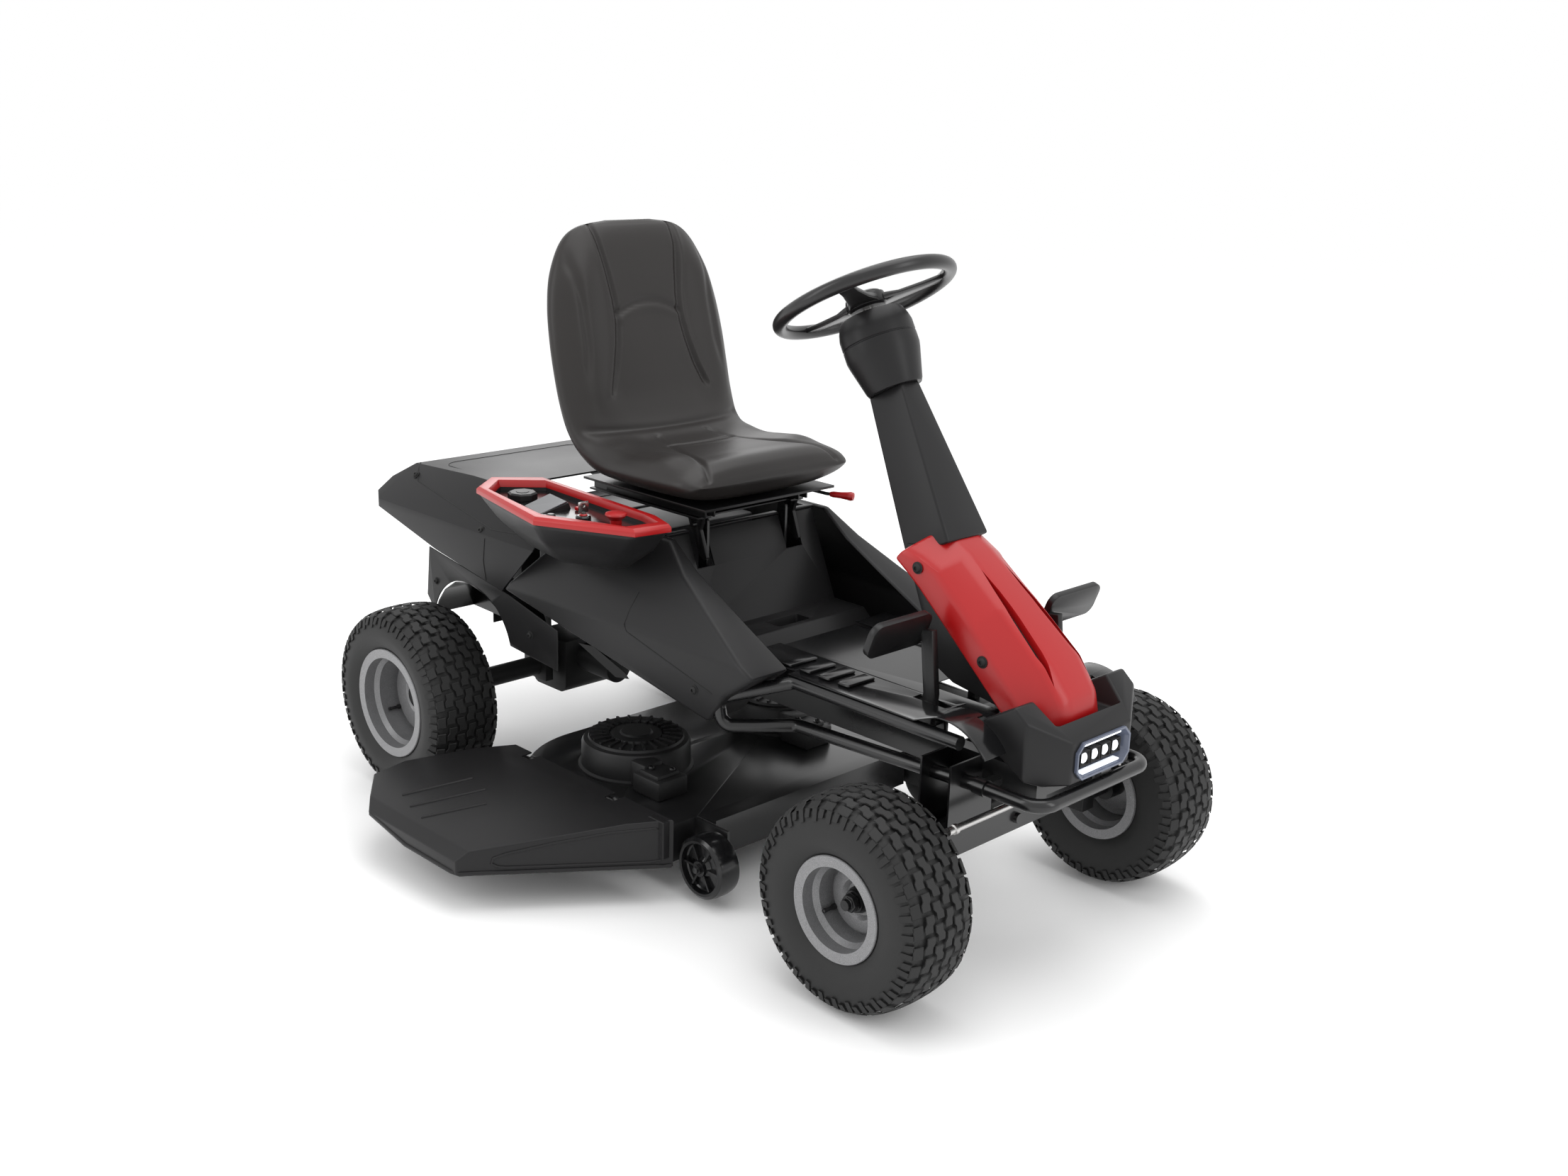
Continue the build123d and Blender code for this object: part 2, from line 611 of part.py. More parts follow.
# ---- pedals --------------------------------------------------------------------------------------
for name, hand, pivot_x in (("drive_pedal", -1, drive_pivot_x), ("brake_pedal", 1, brake_pivot_x)):
    arm_y = hand * pedal_arm_y
    with BuildPart() as pedal:
        with BuildSketch(side(arm_y + pedal_arm_half)):
            with BuildLine():
                Polyline((pivot_x, pedal_pivot_z), (pivot_x + 6, 470), (pivot_x - 8, pedal_pad_z))
            trace(line_width=26)
            with Locations((pivot_x, pedal_pivot_z)):
                Circle(16)
        extrude(amount=2 * pedal_arm_half)
        pad_middle = hand * (pedal_arm_y + 66)
        with BuildSketch(Plane(origin=(pivot_x - 15, pad_middle, pedal_pad_z), x_dir=(0, 1, 0),
                               z_dir=(-0.94, 0, 0.34))):
            RectangleRounded(150, 66, 20)
        extrude(amount=13)
        rod_along_y(pivot_x, (arm_y - 12, arm_y + 12), pedal_pivot_z, pedal_pin_radius + running_clearance,
                    Mode.SUBTRACT)
    save(pedal, name)

# ---- body panels ---------------------------------------------------------------------------------
with BuildPart() as console_shape:
    with BuildSketch(Plane.XY.offset(console_bottom_z)):
        Polygon(*console_floor, align=None)
    with BuildSketch(Plane.XY.offset(console_top_z)):
        Polygon(*console_outline, align=None)
    loft(ruled=True)

with BuildPart() as side_panel:
    with BuildSketch(side(-ridge_y)):
        Polygon((262, 560), (154, 452), (786, 344), (826, 398), (905, floor_z + 8), (745, 540), (655, 588),
                (588, deck_top_z - 6), (262, deck_top_z - 6), align=None)
    extrude(amount=body_half_width - ridge_y)
    with BuildSketch(across(100, 0, 0)):
        Polygon((-body_half_width - 1, 470), (-ridge_y - 12, deck_top_z + 4),
                (-body_half_width - 1, deck_top_z + 4),
                align=None)
    extrude(amount=900, mode=Mode.SUBTRACT)
    offset(amount=-shell, openings=side_panel.faces().sort_by(Axis.Y)[-1])
with BuildPart() as side_panels:
    add(side_panel.part)
    mirror(side_panel.part, about=Plane.XZ)
    add(console_shape.part, mode=Mode.SUBTRACT)
    for hand in (-1, 1):
        block((770, 930), (hand * 247.5 - 48, hand * 247.5 + 48), (325, 480), Mode.SUBTRACT)
save(side_panels, "side_panels")

well_x = (60.0, 546.0)
well_half_width = 186.0
cover_front_x = 258.0
with BuildPart() as rear_cover:
    with BuildSketch(side(body_half_width)):
        Polygon((tail_x, 546), (-320, 602), (-268, deck_top_z - 6), (-60, deck_top_z),
                (cover_front_x, deck_top_z),
                (cover_front_x, 556), (150, 448), (-94, 486), align=None)
    extrude(amount=2 * body_half_width)
    with BuildSketch(Plane.XY.offset(400)):
        Polygon((tail_x, -280), (tail_x, 280), (-316, body_half_width + 1), (-400, body_half_width + 1),
                (-400, -body_half_width - 1), (-316, -body_half_width - 1), align=None)
    extrude(amount=300, mode=Mode.SUBTRACT)
    for hand in (-1, 1):
        with BuildSketch(across(-400, 0, 0)):
            Polygon((hand * (body_half_width + 1), 556), (hand * (ridge_y + 12), deck_top_z + 4),
                    (hand * (body_half_width + 1), deck_top_z + 4), align=None)
        extrude(amount=900, mode=Mode.SUBTRACT)
    offset(amount=-shell, openings=rear_cover.faces().sort_by(Axis.X)[-1])
    with BuildSketch(side(body_half_width)):
        Polygon((-300, 440), (-86, 494), (146, 458), (256, 566), (280, 590), (280, 440), align=None)
    extrude(amount=2 * body_half_width, mode=Mode.SUBTRACT)
    block((well_x[0], cover_front_x + 10), (-well_half_width, well_half_width), (600, 700), Mode.SUBTRACT)
    add(console_shape.part, mode=Mode.SUBTRACT)
save(rear_cover, "rear_cover")

surround_front_x = 560.0
hook_slots = ((-146.0, -100.0), (100.0, 146.0))
with BuildPart() as front_deck:
    block((cover_front_x + 1, surround_front_x), (1 - ridge_y, ridge_y - 1),
          (deck_top_z - 6 - shell, deck_top_z - 6))
    block((cover_front_x, well_x[1]), (-well_half_width, well_half_width), (600, 700), Mode.SUBTRACT)
    add(console_shape.part, mode=Mode.SUBTRACT)
    for slot_y in hook_slots:
        block((hinge_x - 30, 600), slot_y, (600, 700), Mode.SUBTRACT)
save(front_deck, "seat_surround")

tray_z = 452.0
with BuildPart() as seat_front_panel:
    with BuildSketch(side(ridge_y - 6)):
        with BuildLine():
            Polyline((surround_front_x - 4, deck_top_z - 14), (634, tray_z), (718, tray_z), (770, 404))
        trace(line_width=shell)
    extrude(amount=2 * (ridge_y - 6))
    with BuildSketch(Plane.XY.offset(tray_z - shell)):
        with Locations((684, 12)):
            RectangleRounded(44, 92, 8)
    extrude(amount=2 * shell, mode=Mode.SUBTRACT)
    for slot_y in hook_slots:
        block((540, 640), slot_y, (566, 660), Mode.SUBTRACT)

with BuildPart() as cup_pocket:
    with BuildSketch(Plane.XY.offset(tray_z - 46)):
        with Locations((684, 12)):
            RectangleRounded(43, 91, 8)
    extrude(amount=48)
    offset(amount=-2, openings=cup_pocket.faces().sort_by(Axis.Z)[-1])
with BuildPart() as front_panel:
    add(seat_front_panel.part)
    add(cup_pocket.part)
save(front_panel, "seat_front_panel")

with BuildPart() as wheel_guards:
    for hand in (-1, 1):
        with BuildSketch(side(hand * 292 + 1.5)):
            with BuildLine():
                Polyline((-128, 484), (-140, 372), (-112, 340))
                ThreePointArc((-112, 340), (-60, 412), (20, 432))
                ThreePointArc((20, 432), (120, 400), (168, 330))
                Polyline((168, 330), (330, 318), (330, 404), (150, 444), (-128, 484))
            make_face()
        extrude(amount=3)
save(wheel_guards, "wheel_guards")

# ---- power pack and rear axle --------------------------------------------------------------------
with BuildPart() as battery_pack:
    block((76, 250), (-150, 150), (rail_top + 1, 606))
    block((262, 436), (-150, 150), (rail_top + 1, 606))
    fillet(battery_pack.edges().filter_by(Axis.Z), 10)
save(battery_pack, "battery_packs")

with BuildPart() as motor_controller:
    block((-250, -40), (-110, 110), (rail_top, 470))
    for fin in range(9):
        block((-244, -46), (-100 + 24 * fin, -94 + 24 * fin), (470, 488))
save(motor_controller, "motor_controller")

with BuildPart() as transaxle:
    rod_along_y(0, (-axle_tube_end, axle_tube_end), rear_tyre_radius, axle_tube_radius)
    block((-58, 62), (-66, 66), (140, 262))
    fillet(transaxle.edges().filter_by(Axis.Y).sort_by(Axis.Z)[0:2], 20)
    rod_along_x((62, 170), 0, 216, 34)
    for hand in (-1, 1):
        rod_along_y(0, (hand * (axle_tube_end + 1), hand * (axle_tube_end - stub_length - 4)),
                    rear_tyre_radius,
                    axle_shaft_radius + running_clearance, Mode.SUBTRACT)
        block((-40, 40), (hand * rail_half_gauge - 10, hand * rail_half_gauge + 10),
              (rear_tyre_radius - 28, 222))
save(transaxle, "transaxle")

hitch_x = -196.0
with BuildPart() as hitch_plate:
    block((rail_rear_x - 4, rail_rear_x), (-110, 110), (rail_bottom - 70, rail_top))
    block((hitch_x - 34, rail_rear_x), (-45, 45), (rail_bottom - 70, rail_bottom - 64))
    fillet(hitch_plate.edges().filter_by(Axis.Z).sort_by(Axis.X)[0:2], 20)
    rod_along_z(hitch_x, 0, (rail_bottom - 71, rail_bottom - 63), 8, Mode.SUBTRACT)
save(hitch_plate, "hitch_plate")

# ---- seat ----------------------------------------------------------------------------------------
pan_bottom = 694.0
with BuildPart() as seat_hinge:
    for hand in (-1, 1):
        gauge = hand * hinge_half_gauge
        with BuildSketch(side(gauge + 4)):
            Polygon((hinge_x - 26, 668), (hinge_x + 22, 668), (hinge_x + 14, 640), (hinge_x + 34, 588),
                    (hinge_x + 27, 582), (hinge_x + 14, 590), (hinge_x - 12, 636), align=None)
        extrude(amount=8)
        block((250, hinge_x + 22), (gauge - 18, gauge + 18), (664, 668))
        block((250, hinge_x + 22), (gauge - 6, gauge + 6), (668, pan_bottom - 6 - moving_gap))
        rod_along_y(hinge_x, (gauge - 6, gauge + 6), hinge_z, hinge_pin_radius + running_clearance,
                    Mode.SUBTRACT)
    block((250, 280), (-hinge_half_gauge, hinge_half_gauge), (660, 664))
    block((hinge_x - 18, hinge_x + 10), (-hinge_half_gauge, hinge_half_gauge), (664, 667))
save(seat_hinge, "seat_hinge")

lever_pivot = (560.0, 160.0, 683.0)
with BuildPart() as seat_pan:
    block((270, 640), (-178, 178), (pan_bottom, pan_bottom + 5))
    for hand in (-1, 1):
        gauge = hand * hinge_half_gauge
        block((300, 600), (gauge - 16, gauge + 16), (pan_bottom - 12, pan_bottom))
        block((290, 610), (gauge - 7, gauge + 7), (pan_bottom - 20, pan_bottom - 6), Mode.SUBTRACT)
        for wing in (-1, 1):
            wing_y = gauge + wing * 11.5
            block((300, 600), (wing_y - 2, wing_y + 2), (pan_bottom - 24, pan_bottom - 12))
    rod_along_z(lever_pivot[0], lever_pivot[1], (lever_pivot[2] - 5, pan_bottom), 3)
    rod_along_z(lever_pivot[0], lever_pivot[1], (lever_pivot[2] - 8, lever_pivot[2] - 4 - moving_gap), 6)
save(seat_pan, "seat_pan")

with BuildPart() as seat_cushion:
    with BuildSketch(side(seat_half_width)):
        with BuildLine():
            Spline((200, seat_top_z), (238, 1150), (276, 1000), (312, 860), (352, 800), (430, 782))
            Spline((430, 782), (530, 788), (600, 790), (640, 772))
            Polyline((640, 772), (652, 744), (626, 712), (500, 700), (300, 700), (250, 730), (224, 790))
            Spline((224, 790), (190, 950), (150, 1120), (152, 1170), (174, 1196), (200, seat_top_z))
        make_face()
    extrude(amount=2 * seat_half_width)
    with BuildSketch(across(100, 0, 0)):
        with BuildLine():
            Polyline((-seat_half_width + 30, 690), (seat_half_width - 30, 690), (seat_half_width, 740))
            Spline((seat_half_width, 740), (seat_half_width, 1000), (seat_half_width - 30, 1120),
                   (110, seat_top_z - 8),
                   (0, seat_top_z), (-110, seat_top_z - 8), (30 - seat_half_width, 1120),
                   (-seat_half_width, 1000),
                   (-seat_half_width, 740))
            Line((-seat_half_width, 740), (-seat_half_width + 30, 690))
        make_face()
    extrude(amount=700, mode=Mode.INTERSECT)
save(seat_cushion, "seat_cushion")

with BuildPart() as seat_lever:
    rod_along_z(lever_pivot[0], lever_pivot[1], (lever_pivot[2] - 3, lever_pivot[2] + 3), 9)
    with BuildLine() as lever_path:
        Polyline((lever_pivot[0], lever_pivot[1], lever_pivot[2]), (616, 182, 676), (664, 204, 676))
    with BuildSketch(Plane(lever_path.line @ 0, z_dir=lever_path.line % 0)):
        Circle(3.5)
    sweep(transition=Transition.ROUND)
    rod_along_z(lever_pivot[0], lever_pivot[1], (lever_pivot[2] - 4, lever_pivot[2] + 4),
                3 + running_clearance,
                Mode.SUBTRACT)

grip_direction = Plane((616, 182, 676), z_dir=(48, 22, 0))
with BuildPart() as seat_lever_whole:
    add(seat_lever.part)
    with BuildSketch(grip_direction.offset(8)):
        Circle(7)
    extrude(amount=48, taper=-3)
save(seat_lever_whole, "seat_lever")

# ---- console -------------------------------------------------------------------------------------
rim_width = 20.0
panel_z = console_top_z - 18
panel_inset = 38.0
with BuildPart() as console_tub:
    add(console_shape.part)
    offset(amount=-shell, openings=console_tub.faces().sort_by(Axis.Z)[-1])
    block((0, 700), (-600, 0), (console_top_z - 8, console_top_z + 5), Mode.SUBTRACT)
save(console_tub, "console_tub")

with BuildPart() as console_bezel:
    with BuildSketch(Plane.XY.offset(console_top_z - 7)):
        Polygon(*console_outline, align=None)
        with BuildSketch(mode=Mode.PRIVATE) as bezel_outline:
            Polygon(*console_outline, align=None)
        offset(bezel_outline.sketch, amount=-rim_width, kind=Kind.INTERSECTION, mode=Mode.SUBTRACT)
    extrude(amount=15)
save(console_bezel, "console_bezel")

with BuildPart() as console_panel:
    with BuildSketch(Plane.XY.offset(panel_z)):
        with BuildSketch(mode=Mode.PRIVATE) as panel_outline:
            Polygon(*console_outline, align=None)
        offset(panel_outline.sketch, amount=-panel_inset, kind=Kind.INTERSECTION)
    extrude(amount=4)
    rod_along_z(452, -322, (panel_z - 1, panel_z + 5), 5 + running_clearance, Mode.SUBTRACT)
    rod_along_z(545, -318, (panel_z - 1, panel_z + 5), 6 + running_clearance, Mode.SUBTRACT)
save(console_panel, "console_panel")

key_place = (452.0, -322.0)
with BuildPart() as ignition_key:
    rod_along_z(*key_place, (panel_z - 6, panel_z + 6), 5)
    block((key_place[0] - 2, key_place[0] + 2), (key_place[1] - 12, key_place[1] + 12),
          (panel_z + 6, panel_z + 36))
save(ignition_key, "ignition_key")

knob_place = (545.0, -318.0)
with BuildPart() as blade_knob:
    rod_along_z(*knob_place, (panel_z - 22, panel_z + 22), 6)
    with BuildSketch(Plane.XY.offset(panel_z + 22)):
        with Locations(knob_place):
            Circle(13)
    extrude(amount=10, taper=-38)
save(blade_knob, "blade_knob")

cap_place = (252.0, -318.0)
with BuildPart() as charge_cap:
    with BuildSketch(Plane.XY.offset(panel_z + 4 + moving_gap)):
        with Locations(cap_place):
            RegularPolygon(26, 8)
    extrude(amount=12)
    chamfer(charge_cap.faces().sort_by(Axis.Z)[-1].edges(), 3)
    rod_along_z(*cap_place, (panel_z + 4 + moving_gap, panel_z + 19), 12)
save(charge_cap, "charge_cap")

switch_place = (400.0, -290.0)
with BuildPart() as speed_switch:
    block((switch_place[0] - 9, switch_place[0] + 9), (switch_place[1] - 6, switch_place[1] + 6),
          (panel_z + 4 + moving_gap, panel_z + 12))
save(speed_switch, "speed_switch")

# ---- cutting deck --------------------------------------------------------------------------------
deck_wall = blade_radius + deck_clearance
opening_x = (spindle_x - 120.0, spindle_x + 170.0)
roller_face = roller_y - 34
hinge_lugs = (opening_x[0] + 6, opening_x[1] - 20)
lug_width = 14.0
hinge_barrel = 8.5
hinge_wire = 4.0
with BuildPart() as deck_shell:
    with BuildSketch(Plane.XY.offset(deck_bottom_z)) as deck_plan:
        with Locations((spindle_x, -spindle_half_gauge), (spindle_x, spindle_half_gauge)):
            Circle(deck_wall)
        Polygon((spindle_x - deck_wall, -spindle_half_gauge), (spindle_x - deck_wall, spindle_half_gauge),
                (spindle_x, spindle_half_gauge + deck_wall), (620, deck_front_half),
                (deck_corner_x, deck_front_half),
                (deck_corner_x, roller_face - 6), (deck_front_x, roller_face - 16),
                (deck_front_x, 16 - roller_face),
                (deck_corner_x, 6 - roller_face), (deck_corner_x, -deck_front_half), (620, -deck_front_half),
                (spindle_x, -spindle_half_gauge - deck_wall), align=None)
    extrude(amount=deck_plate_z - deck_bottom_z)
    with BuildSketch(Plane.XY.offset(deck_bottom_z - 1)):
        offset(deck_plan.sketch, amount=-sheet, kind=Kind.INTERSECTION)
    extrude(amount=deck_plate_z - deck_bottom_z - sheet + 1, mode=Mode.SUBTRACT)
    block(opening_x, (-spindle_half_gauge - deck_wall - 5, -spindle_half_gauge - 120),
          (deck_bottom_z + 10, deck_plate_z - sheet), Mode.SUBTRACT)
    block((opening_x[0] - 10, opening_x[1] + 10), (chute_hinge_y - 10, -spindle_half_gauge - 130),
          (deck_plate_z - sheet, deck_plate_z))
    for lug_x in hinge_lugs:
        block((lug_x, lug_x + lug_width), (chute_hinge_y - hinge_barrel, chute_hinge_y + hinge_barrel),
              (deck_plate_z - sheet, chute_hinge_z))
        rod_along_x((lug_x, lug_x + lug_width), chute_hinge_y, chute_hinge_z, hinge_barrel)
        rod_along_x((lug_x - 28, lug_x + lug_width + 28), chute_hinge_y, chute_hinge_z, hinge_wire)
    for hand in (-1, 1):
        rod_along_z(spindle_x, hand * spindle_half_gauge, (deck_plate_z - sheet - 1, deck_plate_z + 1),
                    8 + running_clearance, Mode.SUBTRACT)
        bracket_y = hand * (roller_face - 2)
        block((deck_corner_x - 14, roller_x + 14), (bracket_y - 3, bracket_y + 3),
              (roller_z - 14, deck_plate_z))
        rod_along_y(roller_x, (bracket_y, hand * (roller_y + 36)), roller_z, 6)
save(deck_shell, "deck_shell")

with BuildPart() as deck_motors:
    for hand in (-1, 1):
        motor_y = hand * spindle_half_gauge
        rod_along_z(spindle_x, motor_y, (deck_plate_z, motor_top_z), motor_radius)
        rod_along_z(spindle_x, motor_y, (deck_plate_z - 1, deck_plate_z + 40), 8 + running_clearance,
                    Mode.SUBTRACT)
        block((spindle_x + motor_radius - 10, spindle_x + motor_radius + 70), (motor_y - 96, motor_y - 20),
              (deck_plate_z, deck_plate_z + 44))
    fillet(deck_motors.edges().filter_by(GeomType.CIRCLE).group_by(Axis.Z)[-1], 10)
save(deck_motors, "deck_motors")

blade_z = deck_bottom_z + 22
for name, hand in (("right", -1), ("left", 1)):
    blade_y = hand * spindle_half_gauge
    with BuildPart() as blade:
        block((spindle_x - 28, spindle_x + 28), (blade_y - blade_radius + 3, blade_y + blade_radius - 3),
              (blade_z, blade_z + 4))
        for tip in (-1, 1):
            tip_y = blade_y + tip * (blade_radius - 40)
            block((spindle_x - tip * 28 - 2, spindle_x - tip * 28 + 2), (tip_y - 34, tip_y + 34),
                  (blade_z, blade_z + 20))
        rod_along_z(spindle_x, blade_y, (blade_z, deck_plate_z + 30), 8)
        rod_along_z(spindle_x, blade_y, (blade_z - 10, blade_z), 14)
    save(blade, f"blade_{name}")

for name, hand in (("right", -1), ("left", 1)):
    middle = hand * roller_y
    with BuildPart() as roller:
        rod_along_y(roller_x, (middle - 26, middle + 26), roller_z, roller_radius)
        fillet(roller.edges().filter_by(GeomType.CIRCLE), 12)
        rod_along_y(roller_x, (middle + hand * 4, middle + hand * 40), roller_z, roller_radius - 16,
                    Mode.SUBTRACT)
        rod_along_y(roller_x, (middle - 24, middle + 24), roller_z, 14)
        rod_along_y(roller_x, (middle - 40, middle + 40), roller_z, 6 + running_clearance, Mode.SUBTRACT)
    save(roller, f"deck_roller_{name}")

chute_inner_y = chute_hinge_y - 4
chute_bottom_z = 76.0
with BuildPart() as discharge_chute:
    with BuildSketch(Plane.XY.offset(chute_bottom_z)) as chute_plan:
        Polygon((790, chute_inner_y + 12), (572, chute_tip_y + 24), (556, chute_tip_y), (262, chute_tip_y),
                (166, -628), (174, -560), (300, chute_inner_y + 12), align=None)
    extrude(amount=100)
    with BuildSketch(across(100, 0, 0)):
        Polygon((chute_inner_y + 24, 172), (chute_inner_y - 60, 166), (chute_tip_y + 20, 122),
                (chute_tip_y, 104),
                (chute_tip_y - 10, 70), (chute_tip_y - 10, 200), (chute_inner_y + 24, 200), align=None)
    extrude(amount=900, mode=Mode.SUBTRACT)
    offset(amount=-2.5, openings=discharge_chute.faces().sort_by(Axis.Z)[0])
    block((100, 900), (chute_inner_y, chute_inner_y + 30), (40, 200), Mode.SUBTRACT)
    with BuildSketch(side(chute_inner_y + 20)):
        Polygon((100, 60), (390, 60), (390, 80), (250, 104), (100, 132), align=None)
    extrude(amount=400, mode=Mode.SUBTRACT)
    for lug_x in hinge_lugs:
        for start_x in (lug_x - 25, lug_x + lug_width + 1):
            block((start_x, start_x + 24), (chute_inner_y - 12, chute_hinge_y + 4), (160, 170))
            rod_along_x((start_x, start_x + 24), chute_hinge_y, chute_hinge_z, hinge_barrel)
            rod_along_x((start_x - 1, start_x + 25), chute_hinge_y, chute_hinge_z,
                        hinge_wire + running_clearance,
                        Mode.SUBTRACT)
        block((lug_x - 1, lug_x + lug_width + 1), (chute_hinge_y - 16, chute_hinge_y + 16),
              (chute_hinge_z - 14, chute_hinge_z + 14), Mode.SUBTRACT)
save(discharge_chute, "discharge_chute")

# ---- deck lift and cable -------------------------------------------------------------------------
lever_y = 322.0
with BuildPart() as lift_lever:
    rod_along_y(lift_shaft_x, (-rail_half_gauge - 12, lever_y), lift_shaft_z, lift_shaft_radius)
    for hand in (-1, 1):
        block((lift_shaft_x, lift_shaft_x + 66), (hand * 62 - 4, hand * 62 + 4),
              (lift_shaft_z - 7, lift_shaft_z + 7))
        rod_along_y(lift_shaft_x, (hand * 62 - 4, hand * 62 + 4), lift_shaft_z, 14)
    with BuildSketch(side(lever_y + 4)):
        with BuildLine():
            Polyline((lift_shaft_x, lift_shaft_z), (lift_shaft_x + 70, lift_shaft_z + 190))
        trace(line_width=20)
        with Locations((lift_shaft_x, lift_shaft_z)):
            Circle(16)
    extrude(amount=8)
    with BuildSketch(Plane((lift_shaft_x + 66, lever_y, lift_shaft_z + 179), z_dir=(0.346, 0, 0.938))):
        Circle(13)
    extrude(amount=96, taper=2)
save(lift_lever, "lift_lever")

with BuildPart() as brake_cable:
    with BuildLine() as cable_path:
        FilletPolyline(*cable_points, radius=24)
    with BuildSketch(Plane(cable_path.line @ 0, z_dir=cable_path.line % 0)):
        Circle(cable_radius)
    sweep()
save(brake_cable, "brake_cable")
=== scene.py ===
import math

import bpy
from mathutils import Matrix, Vector


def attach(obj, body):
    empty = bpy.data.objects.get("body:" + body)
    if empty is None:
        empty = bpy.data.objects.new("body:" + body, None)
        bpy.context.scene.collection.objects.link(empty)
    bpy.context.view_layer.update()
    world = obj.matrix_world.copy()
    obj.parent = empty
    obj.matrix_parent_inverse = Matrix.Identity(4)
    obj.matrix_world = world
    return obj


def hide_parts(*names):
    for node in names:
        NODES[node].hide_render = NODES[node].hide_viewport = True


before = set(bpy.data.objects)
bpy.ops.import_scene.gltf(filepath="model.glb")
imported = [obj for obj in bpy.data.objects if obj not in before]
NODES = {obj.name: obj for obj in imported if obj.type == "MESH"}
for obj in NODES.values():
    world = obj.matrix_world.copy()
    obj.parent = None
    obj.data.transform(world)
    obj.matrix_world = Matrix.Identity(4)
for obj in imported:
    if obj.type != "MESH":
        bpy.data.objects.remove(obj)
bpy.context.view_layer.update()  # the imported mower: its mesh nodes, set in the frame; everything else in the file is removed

# The mower was drawn in millimetres from the middle of the rear axle; the frame's origin is under its middle.
MIDDLE_X = 552.75
MIDDLE_Y = -102.5


def at(x, y, z):
    """A point given in millimetres from the rear axle's middle, on the ground, as a point of the frame."""
    return Vector(((x - MIDDLE_X) / 1000, (y - MIDDLE_Y) / 1000, z / 1000))

# ---- small tools -------------------------------------------------------------------
def object_mode():
    """Leaves edit mode."""
    if bpy.context.object and bpy.context.object.mode != "OBJECT":
        bpy.ops.object.mode_set(mode="OBJECT")


def deselect():
    object_mode()
    bpy.ops.object.select_all(action="DESELECT")


def only(obj):
    """Makes this the one selected and active object."""
    deselect()
    obj.select_set(True)
    bpy.context.view_layer.objects.active = obj


def place(obj):
    """Puts the object's place into its mesh."""
    only(obj)
    bpy.ops.object.transform_apply(location=True, rotation=True, scale=True)
    return obj


def named(name):
    """Names the active object and its mesh."""
    obj = bpy.context.object
    obj.name = name
    obj.data.name = name
    return obj


def modify(obj, kind, **settings):
    """Adds a modifier with these settings and applies it."""
    only(obj)
    modifier = obj.modifiers.new(kind.lower(), kind)
    for key, value in settings.items():
        setattr(modifier, key, value)
    bpy.ops.object.modifier_apply(modifier=modifier.name)
    return obj


def round_edges(obj, width, segments=2, angle=30):
    """Bevels the edges sharper than the angle, by a width in millimetres."""
    modify(obj, "BEVEL", width=width / 1000, segments=segments, limit_method="ANGLE",
        angle_limit=math.radians(angle), use_clamp_overlap=True, miter_outer="MITER_ARC")
    return obj


def smooth(obj, angle=32):
    """Shades smooth wherever faces meet at less than the angle."""
    only(obj)
    bpy.ops.object.shade_smooth_by_angle(angle=math.radians(angle))
    return obj


def edit_all(obj):
    """Opens the mesh for editing with all of it selected."""
    only(obj)
    bpy.ops.object.mode_set(mode="EDIT")
    bpy.ops.mesh.select_all(action="SELECT")


def built(name, vertices, faces):
    """A mesh object made from its corners and faces."""
    mesh = bpy.data.meshes.new(name)
    mesh.from_pydata(vertices, [], faces)
    obj = bpy.data.objects.new(name, mesh)
    bpy.context.scene.collection.objects.link(obj)
    return obj


def outwards(obj):
    """Merges doubles and turns every face outwards."""
    edit_all(obj)
    bpy.ops.mesh.remove_doubles(threshold=0.00005)
    bpy.ops.mesh.normals_make_consistent(inside=False)
    object_mode()
    return obj


def flat_shape(name, points):
    """A face with these corners: a circle of as many corners, moved to its outline."""
    deselect()
    bpy.ops.mesh.primitive_circle_add(vertices=len(points), radius=1, fill_type="NGON")
    obj = named(name)
    for vertex, point in zip(obj.data.vertices, points):
        vertex.co = point
    return obj


def prism(name, points, depth):
    """The face with these corners, pushed out by the vector into a solid."""
    obj = flat_shape(name, points)
    edit_all(obj)
    bpy.ops.mesh.extrude_region_move(TRANSFORM_OT_translate={"value": depth})
    object_mode()
    return outwards(obj)


def side_prism(name, outline, y):
    """A solid with this (x, z) outline between two values of y, all in millimetres."""
    low, high = y
    return prism(name, [at(x, low, z) for x, z in outline], Vector((0, (high - low) / 1000, 0)))


def turned(name, profile, centre, axis, steps=64):
    """A solid of revolution: (radius, distance along the axis) pairs in millimetres, spun about the axis."""
    axis = Vector(axis).normalized()
    across = axis.orthogonal().normalized()
    middle = at(*centre)
    deselect()
    bpy.ops.mesh.primitive_circle_add(vertices=len(profile), radius=1, fill_type="NOTHING")
    obj = named(name)
    for vertex, (radius, distance) in zip(obj.data.vertices, profile):
        vertex.co = middle + across * radius / 1000 + axis * distance / 1000
    edit_all(obj)
    bpy.ops.mesh.spin(steps=steps, angle=2 * math.pi, center=middle, axis=axis, dupli=False)
    object_mode()
    return outwards(obj)


def sided(hand, *points):
    """Points given for the left side, put on the side of this hand (1 left, -1 right)."""
    return [(x, hand * y, z) for x, y, z in points]


def facing(hand, *profile):
    """A (radius, distance) profile whose distances run outwards on the side of this hand."""
    return [(radius, hand * distance) for radius, distance in profile]


